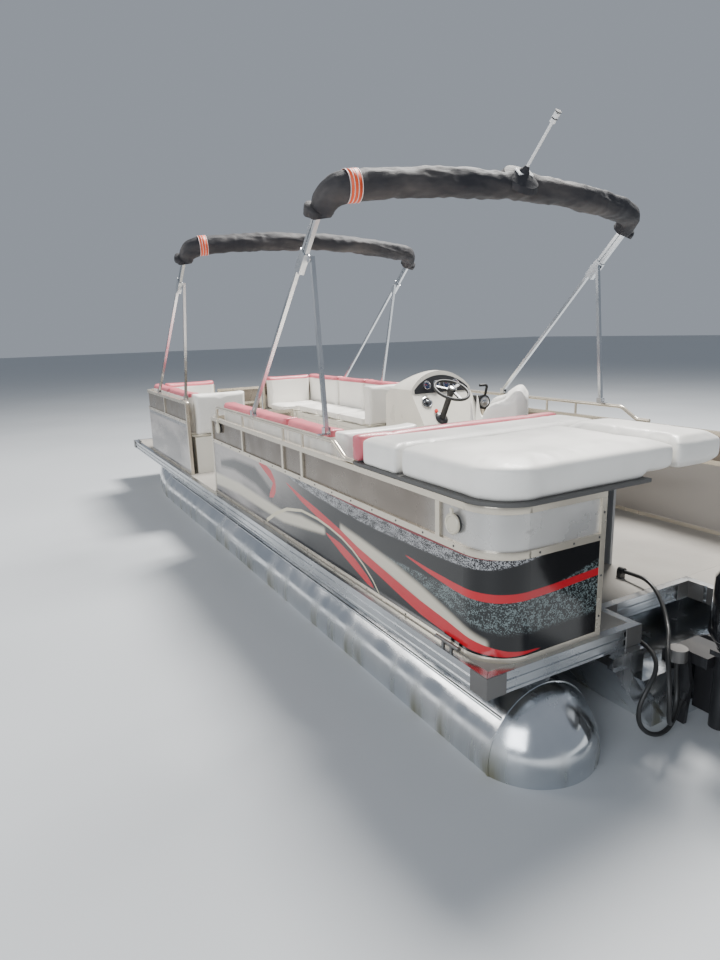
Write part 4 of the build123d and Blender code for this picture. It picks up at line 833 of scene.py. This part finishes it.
def make_band(name, body, points, section):
    """Three orange stripes parted by white lines, round the boot at its port corner."""
    orange = painted(f"band_orange_{name}", (0.8, 0.09, 0.02), 0.5, coat=0.0)
    white = painted(f"band_white_{name}", (0.75, 0.62, 0.58), 0.4, coat=0.0)
    middle = min(range(len(points)), key=lambda i: abs(points[i].x - BAND_X))

    def strip(bm, place, width, swell):
        rings = [section(middle, grow, place + side * width / 2)
                 for side, grow in ((-1, swell - 0.03), (-1, swell), (1, swell), (1, swell - 0.03))]
        add_ring_tube(bm, rings, closed=True)

    bands, lines = bmesh.new(), bmesh.new()
    strip(bands, 0.0, BAND_WIDTH, 1.03)
    for place in (-0.5, -1 / 6, 1 / 6, 0.5):
        strip(lines, place * BAND_WIDTH, BAND_LINE, 1.045)
    from_bmesh(f"{body}_band_orange", bands, body, "boot_fabric", orange)
    from_bmesh(f"{body}_band_white", lines, body, "boot_fabric", white)


# Small fittings, gathered into one mesh for each kind and body

gathered = {}


def into(kind, body, slot, mat=None):
    """The mesh that collects one kind of fitting."""
    if kind not in gathered:
        gathered[kind] = (bmesh.new(), body, slot, mat)
    return gathered[kind][0]


def release():
    """Makes an object of each gathered mesh."""
    for kind, (bm, body, slot, mat) in gathered.items():
        from_bmesh(kind, bm, body, slot, mat, smooth=False)


def studs(bm, places, axis, radius=0.006, height=0.003, sides=8):
    """Low screw or bolt heads that face along the axis."""
    for place in places:
        add_lathe(bm, place, axis, ((radius, 0.0), (radius, height * 0.5),
                                    (radius * 0.6, height)), sides)


def add_beam(bm, a, b, across, width, thickness):
    """A flat bar from a to b; across is the way its width lies."""
    a, b = Vector(a), Vector(b)
    way = (b - a).normalized()
    across = (Vector(across) - way * way.dot(across)).normalized() * width / 2
    normal = way.cross(across).normalized() * thickness / 2
    add_ring_tube(bm, [[p + across + normal, p - across + normal, p - across - normal,
                        p + across - normal] for p in (a, b)])


def spaced(start, end, step):
    """Evenly spaced values from start to end, about a step apart."""
    count = max(1, round(abs(end - start) / step))
    return [start + (end - start) * i / count for i in range(count + 1)]


# Middle rails aft and at the bow, ends of the fence's runs, and the reach of its round corners
MID_AFT, MID_BOW = up(0.487), up(0.545)
GATE_AFT, GATE_FRONT, FENCE_BOW = fore(3.88), fore(4.73), fore(6.75)
STERN_FACE = fore(0.02)
CORNER_END = 0.22


def fence_screws():
    """Black screws along the middle and bottom rails and up the stern's end post."""
    bm = into("fence_screws", "hull", "dash_black")
    runs = ((-1, STERN_FACE + CORNER_END, GATE_AFT, MID_AFT),
            (1, STERN_FACE + CORNER_END, GATE_FRONT, MID_AFT),
            (-1, GATE_FRONT, FENCE_BOW - CORNER_END, MID_BOW),
            (1, GATE_FRONT, FENCE_BOW - CORNER_END, MID_BOW))
    for side, start, end, mid in runs:
        for level, step in ((mid, 0.24), (up(0.012), 0.4)):
            places = [(side * FENCE_HALF, y, level) for y in spaced(start + 0.05, end - 0.05, step)]
            studs(bm, places, (side, 0, 0), 0.0055)
    stern = [(x, STERN_FACE, MID_AFT) for x in (-1.0, -0.8, -0.64)]
    stern += [(-0.616, STERN_FACE, up(level)) for level in (0.1, 0.3, 0.6)]
    studs(bm, stern, (0, -1, 0), 0.0055)


DECK_SHEET = 1.22


def deck_screws():
    """Two rows of screws at each joint of the deck's sheets."""
    bm = into("deck_screws", "hull", "hinge_steel")
    for number in range(1, 7):
        for offset in (-0.03, 0.03):
            places = [(x, fore(DECK_SHEET * number + offset), DECK) for x in spaced(-1.2, 1.2, 0.3)]
            studs(bm, places, (0, 0, 1), 0.006, 0.0012)


# Helm. A sloping face of the console is a place on it and its slope.
CONSOLE_MID = 0.605
HOOD = (Vector((CONSOLE_MID, fore(2.89), up(0.85))), math.atan2(0.195, 0.06))
SLOPE = (Vector((CONSOLE_MID, fore(2.795), up(0.725))), math.atan2(0.25, 0.19))
# Heights of the dash and of the radio's plate over those faces
DASH_OFF, RADIO_OFF, SEATED = 0.0123, 0.0063, 0.0005
GAUGE_RADIUS = 0.038
GAUGE_PITCH = 0.105
GAUGE_RISE = 0.075
# Places on the slope: distance to starboard of the middle and up the slope
RADIO_AT, STOP_AT = (-0.203, 0.07), (-0.15, -0.03)
COLUMN_RISE = -0.104
CONTROL_FACE = Vector((0.9675, fore(2.731), up(0.75)))
AFT = Vector((0, -1, 0))
WHEEL = Vector((0.487, fore(2.59), up(0.9)))
WHEEL_TILT = math.radians(62)
WHEEL_AXIS = Vector((0, math.cos(WHEEL_TILT), -math.sin(WHEEL_TILT)))


def on_face(face, across, rise, off):
    origin, slope = face
    rise_way = Vector((0, math.cos(slope), math.sin(slope)))
    return origin + Vector((across, 0, 0)) + rise_way * rise + face_normal(face) * off


def face_normal(face):
    return Vector((0, -math.sin(face[1]), math.cos(face[1])))


def gauges(red):
    """Four dials on the dash: chrome ring, dark blue face, white ticks and a red needle."""
    chrome = into("helm_chrome", "hull", "hinge_steel")
    blue = painted("gauge_blue", (0.02, 0.035, 0.1), 0.15, coat=0.8)
    faces = into("gauge_faces", "hull", "dash_black", blue)
    marks = into("gauge_marks", "hull", "light_white")
    needles = into("gauge_needles", "hull", "light_white", red)
    normal = face_normal(HOOD)
    glass = GAUGE_RADIUS - 0.006
    ring = ((GAUGE_RADIUS, 0.0), (GAUGE_RADIUS + 0.001, 0.006), (GAUGE_RADIUS - 0.003, 0.008),
            (glass, 0.003), (glass, 0.0))
    flat = (1, 0.01, 0.02)
    for number in range(4):
        across = (number - 1.5) * GAUGE_PITCH

        def dial(radius, degrees, off):
            a = math.radians(degrees)
            return on_face(HOOD, across + radius * math.sin(a), GAUGE_RISE + radius * math.cos(a),
                           DASH_OFF + off)

        centre = dial(0, 0, 0)
        add_lathe(chrome, centre, normal, ring, 32)
        add_lathe(faces, centre, normal, ((glass, 0.0), (glass, 0.0015)), 32)
        for tick in range(11):
            degrees = 24 * tick - 120
            add_beam(marks, dial(0.021, degrees, 0.002), dial(0.029, degrees, 0.002), flat, 0.0022,
                     0.0008)
        add_beam(needles, dial(0, 0, 0.0035), dial(0.024, 35 * number - 70, 0.0035), flat, 0.003,
                 0.001)
        studs(chrome, [centre], normal, 0.004, 0.005, 12)


def radio():
    """A round radio on the slope, with a knob between two buttons."""
    chrome = into("helm_chrome", "hull", "hinge_steel")
    normal = face_normal(SLOPE)
    across, rise = RADIO_AT
    centre = on_face(SLOPE, across, rise, RADIO_OFF)
    add_lathe(chrome, centre, normal, ((0.05, 0), (0.051, 0.006), (0.046, 0.008), (0.042, 0.002),
                                       (0.042, 0.0)), 32)
    add_lathe(chrome, centre, normal, ((0.014, 0), (0.013, 0.012), (0.006, 0.014)), 20)
    for side in (-1, 1):
        button = on_face(SLOPE, across + side * 0.027, rise, RADIO_OFF)
        studs(chrome, [button], normal, 0.006, 0.005, 12)


def column_trim(red):
    """A black bezel round the steering column, and the red engine stop beside it."""
    normal = face_normal(SLOPE)
    bezel = on_face(SLOPE, WHEEL.x - CONSOLE_MID, COLUMN_RISE, SEATED)
    black = into("helm_trim", "hull", "dash_black")
    add_lathe(black, bezel, normal, ((0.062, 0), (0.06, 0.006), (0.036, 0.02)), 32)
    stop = into("engine_stop", "hull", "dash_black", red)
    tag = on_face(SLOPE, *STOP_AT, SEATED)
    add_beam(stop, tag, tag + normal * 0.022, (1, 0, 0), 0.02, 0.028)


def control_face():
    """Chrome ring, cap and three ribs on the round face of the throttle control."""
    chrome = into("helm_chrome", "hull", "hinge_steel")
    add_lathe(chrome, CONTROL_FACE, AFT, ((0.05, 0), (0.05, 0.004), (0.044, 0.006), (0.04, 0.002)),
              32)
    add_lathe(chrome, CONTROL_FACE, AFT, ((0.022, 0), (0.022, 0.008), (0.012, 0.012)), 24)
    middle = CONTROL_FACE + AFT * 0.003
    for degrees in (90, 210, 330):
        a = math.radians(degrees)
        rib = Vector((math.cos(a), 0, math.sin(a)))
        add_beam(chrome, middle + rib * 0.02, middle + rib * 0.043, AFT, 0.004, 0.012)


def helm_details():
    red = painted("gauge_red", (0.8, 0.03, 0.02), 0.4)
    gauges(red)
    radio()
    column_trim(red)
    control_face()


def wheel_details():
    """A silver cap and three spokes on the steering wheel."""
    silver = into("wheel_spokes", "wheel", "hinge_steel")
    add_lathe(silver, WHEEL - WHEEL_AXIS * 0.02, -WHEEL_AXIS,
              ((0.033, 0), (0.033, 0.005), (0.022, 0.011), (0.004, 0.013)), 32)
    rise_way = Vector((0, math.sin(WHEEL_TILT), math.cos(WHEEL_TILT)))
    for degrees in (-90, 30, 150):
        a = math.radians(degrees)
        spoke = Vector((1, 0, 0)) * math.cos(a) + rise_way * math.sin(a)
        start = WHEEL + spoke * 0.036 - WHEEL_AXIS * 0.0065
        add_beam(silver, start, start + spoke * 0.1, spoke.cross(WHEEL_AXIS), 0.022, 0.003)


# Port side's panel rings: place and height
PANEL_RINGS = ((0.289, 0.59), (3.645, 0.62))
RING_SINK = 0.007


def panel_rings():
    """A beige ring with a latch on top over each fitting of the port panels."""
    beige = painted("fitting_beige", (0.62, 0.57, 0.45), 0.35)
    rings = into("panel_rings", "hull", "moulded_cream", beige)
    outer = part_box("panel_fittings")[0][0] + RING_SINK
    for place, level in PANEL_RINGS:
        centre = Vector((outer, fore(place), up(level)))
        add_lathe(rings, centre, (-1, 0, 0), ((0.048, 0), (0.048, 0.008), (0.043, 0.013),
                                              (0.035, 0.013), (0.031, 0.009)), 32)
        top = centre + Vector((-0.006, 0, 0.045))
        add_beam(rings, top, top + Vector((-0.004, 0, 0.026)), (0, 1, 0), 0.016, 0.01)


# Lounge bases: their inner faces, and each row of doors as side, aft end and forward end
LOUNGE_FACE = 0.5748
LOUNGE_DOORS = ((-1, 1.62, 3.72), (-1, 4.88, 6.05), (1, 4.32, 6.05))
DOOR_WIDTH = 0.68
DOOR_GAP = 0.03
DOOR_FOOT, DOOR_TOP = up(0.07), up(0.33)


def lounge_seams():
    """Storage doors with vents in the lounge bases."""
    seams = into("lounge_seams", "hull", "moulded_grey")
    reach = Vector((0, 0.06, 0))
    for side, start, end in LOUNGE_DOORS:
        x = side * LOUNGE_FACE
        stops = spaced(fore(start), fore(end), DOOR_WIDTH)
        for stop, following in zip(stops, stops[1:]):
            a, b = stop + DOOR_GAP, following - DOOR_GAP
            corners = ((x, a, DOOR_FOOT), (x, b, DOOR_FOOT), (x, b, DOOR_TOP), (x, a, DOOR_TOP))
            tube_mesh(seams, resample(corners, 0.05), 0.0018, 6, closed=True)
            for row in range(4):
                vent = Vector((x, (a + b) / 2, up(0.12 + 0.018 * row)))
                add_beam(seams, vent - reach, vent + reach, (0, 0, 1), 0.006, 0.003)


LIGHT_X = 0.03


def light_foot():
    """A black collar where the light stands on the boot, and the caps of its lens."""
    path, lean = arch_path(*AWNINGS[0][1:], BOOT_START)
    crown = min(path, key=lambda p: abs(p.x - LIGHT_X))
    bm = into("light_collar", "awning_aft", "boot_fabric")
    add_lathe(bm, crown + lean * 0.05, lean, ((0.13, -0.02), (0.115, 0.015), (0.07, 0.036),
                                              (0.035, 0.05), (0.02, 0.07), (0.014, 0.085)), 28)
    low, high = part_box("all_round_light")
    tip = Vector((LIGHT_X, low[1], high[2]))
    dark = into("light_caps", "awning_aft", "dash_black")
    for back_off in (0.012, 0.05):
        add_lathe(dark, tip - lean * back_off, lean, ((0.0195, 0), (0.0195, 0.006)), 20)


def motor_details():
    """A bead and a thin line round the cowl, its air slots, and the clamp's bolts."""
    depsgraph = bpy.context.evaluated_depsgraph_get()
    tree = BVHTree.FromObject(nodes["outboard_cowl"], depsgraph)
    low, high = (Vector(v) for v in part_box("outboard_cowl"))
    bead = into("cowl_bead", "outboard", "outboard_black")
    trim = into("cowl_trim", "outboard", "cap_metal")
    for bm, share, radius in ((bead, 0.1, 0.006), (trim, 0.2, 0.003)):
        centre = (low + high) / 2
        centre.z = low.z + (high.z - low.z) * share
        line = []
        for k in range(72):
            a = 2 * math.pi * k / 72
            hit = tree.ray_cast(centre, Vector((math.cos(a), math.sin(a), 0)))[0]
            line.append(hit)
        tube_mesh(bm, resample(line, 0.02), radius, 8, closed=True)
    # Air slots high on both sides at the back
    for side in (-1, 1):
        for number in range(5):
            y = low.y + 0.09 + 0.028 * number
            spots = []
            for z in (high.z - 0.16, high.z - 0.1):
                hit = tree.ray_cast(Vector((0, y, z)), Vector((side, 0, 0)))[0]
                spots.append(hit)
            add_beam(trim, spots[0], spots[1], (0, 1, 0), 0.012, 0.006)
    # Bolts that hold the clamp
    bolts = into("clamp_bolts", "hull", "hinge_steel")
    for side in (-1, 1):
        for z in (0.06, 0.2):
            studs(bolts, [(side * 0.085, STERN - 0.066, z)], (0, -1, 0), 0.012, 0.01, 6)


# Hoses: points as distance to starboard, place forward of the stern and height over the deck

HOSE_DIAMETER = 0.022
HOSES = (
    ("hose_outer", 1.34, (
        (-268, 455, -180), (-264, 385, -178), (-254, 290, -168), (-250, 190, -152),
        (-258, 90, -136), (-286, -5, -132), (-328, -92, -150), (-392, -140, -186),
        (-460, -150, -240), (-505, -145, -320), (-498, -145, -410), (-438, -148, -480),
        (-352, -150, -522), (-268, -148, -518), (-205, -138, -470), (-150, -125, -414),
    )),
    ("hose_inner", 1.516, (
        (62, 420, 44), (56, 350, 48), (38, 262, 56), (8, 172, 28), (-30, 95, -30),
        (-84, 30, -82), (-152, -28, -98), (-230, -78, -96), (-302, -132, -116),
        (-360, -182, -168), (-396, -218, -238), (-404, -230, -320), (-384, -220, -394),
        (-332, -196, -446), (-262, -163, -452), (-206, -137, -408), (-182, -115, -338),
        (-185, -105, -262), (-185, -105, -190),
    )),
)


def make_hoses():
    for name, length, places in HOSES:
        curve = bpy.data.curves.new(f"{name}_line", "CURVE")
        curve.dimensions = "3D"
        curve.bevel_depth = HOSE_DIAMETER / 2
        curve.bevel_resolution = 4
        curve.use_fill_caps = True
        spline = curve.splines.new("NURBS")
        spline.points.add(len(places) - 1)
        for point, (x, y, z) in zip(spline.points, places):
            point.co = (x / 1000, fore(y / 1000), up(z / 1000), 1)
        spline.order_u = 3
        spline.use_endpoint_u = True
        spline.resolution_u = 12
        curve.materials.append(materials["hose_rubber"])
        obj = bpy.data.objects.new(f"{name}_rubber", curve)
        bpy.context.collection.objects.link(obj)
        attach(obj, "hull")
        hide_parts(name)
        start = spline.points[0].co
        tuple(start[:3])


# Build the scene

make_camera()
make_studio()
dress_nodes()
make_hoses()
make_cushions()
make_boots()
fence_screws()
deck_screws()
helm_details()
wheel_details()
panel_rings()
lounge_seams()
light_foot()
motor_details()
release()

for node, width in (
    ("fence_frame", 0.003), ("gate_port_frame", 0.003), ("gate_bow_frame", 0.003),
    ("gate_stern_frame", 0.003), ("lounge_bases", 0.014), ("sun_pad_tray", 0.006),
    ("console", 0.022), ("deck_rail", 0.0015), ("rail_caps", 0.0015), ("outboard_leg", 0.006),
    ("outboard_clamp", 0.005), ("chair_plate", 0.004), ("throttle_control", 0.005),
    ("outboard_cowl", 0.02),
):
    soften(node, width)
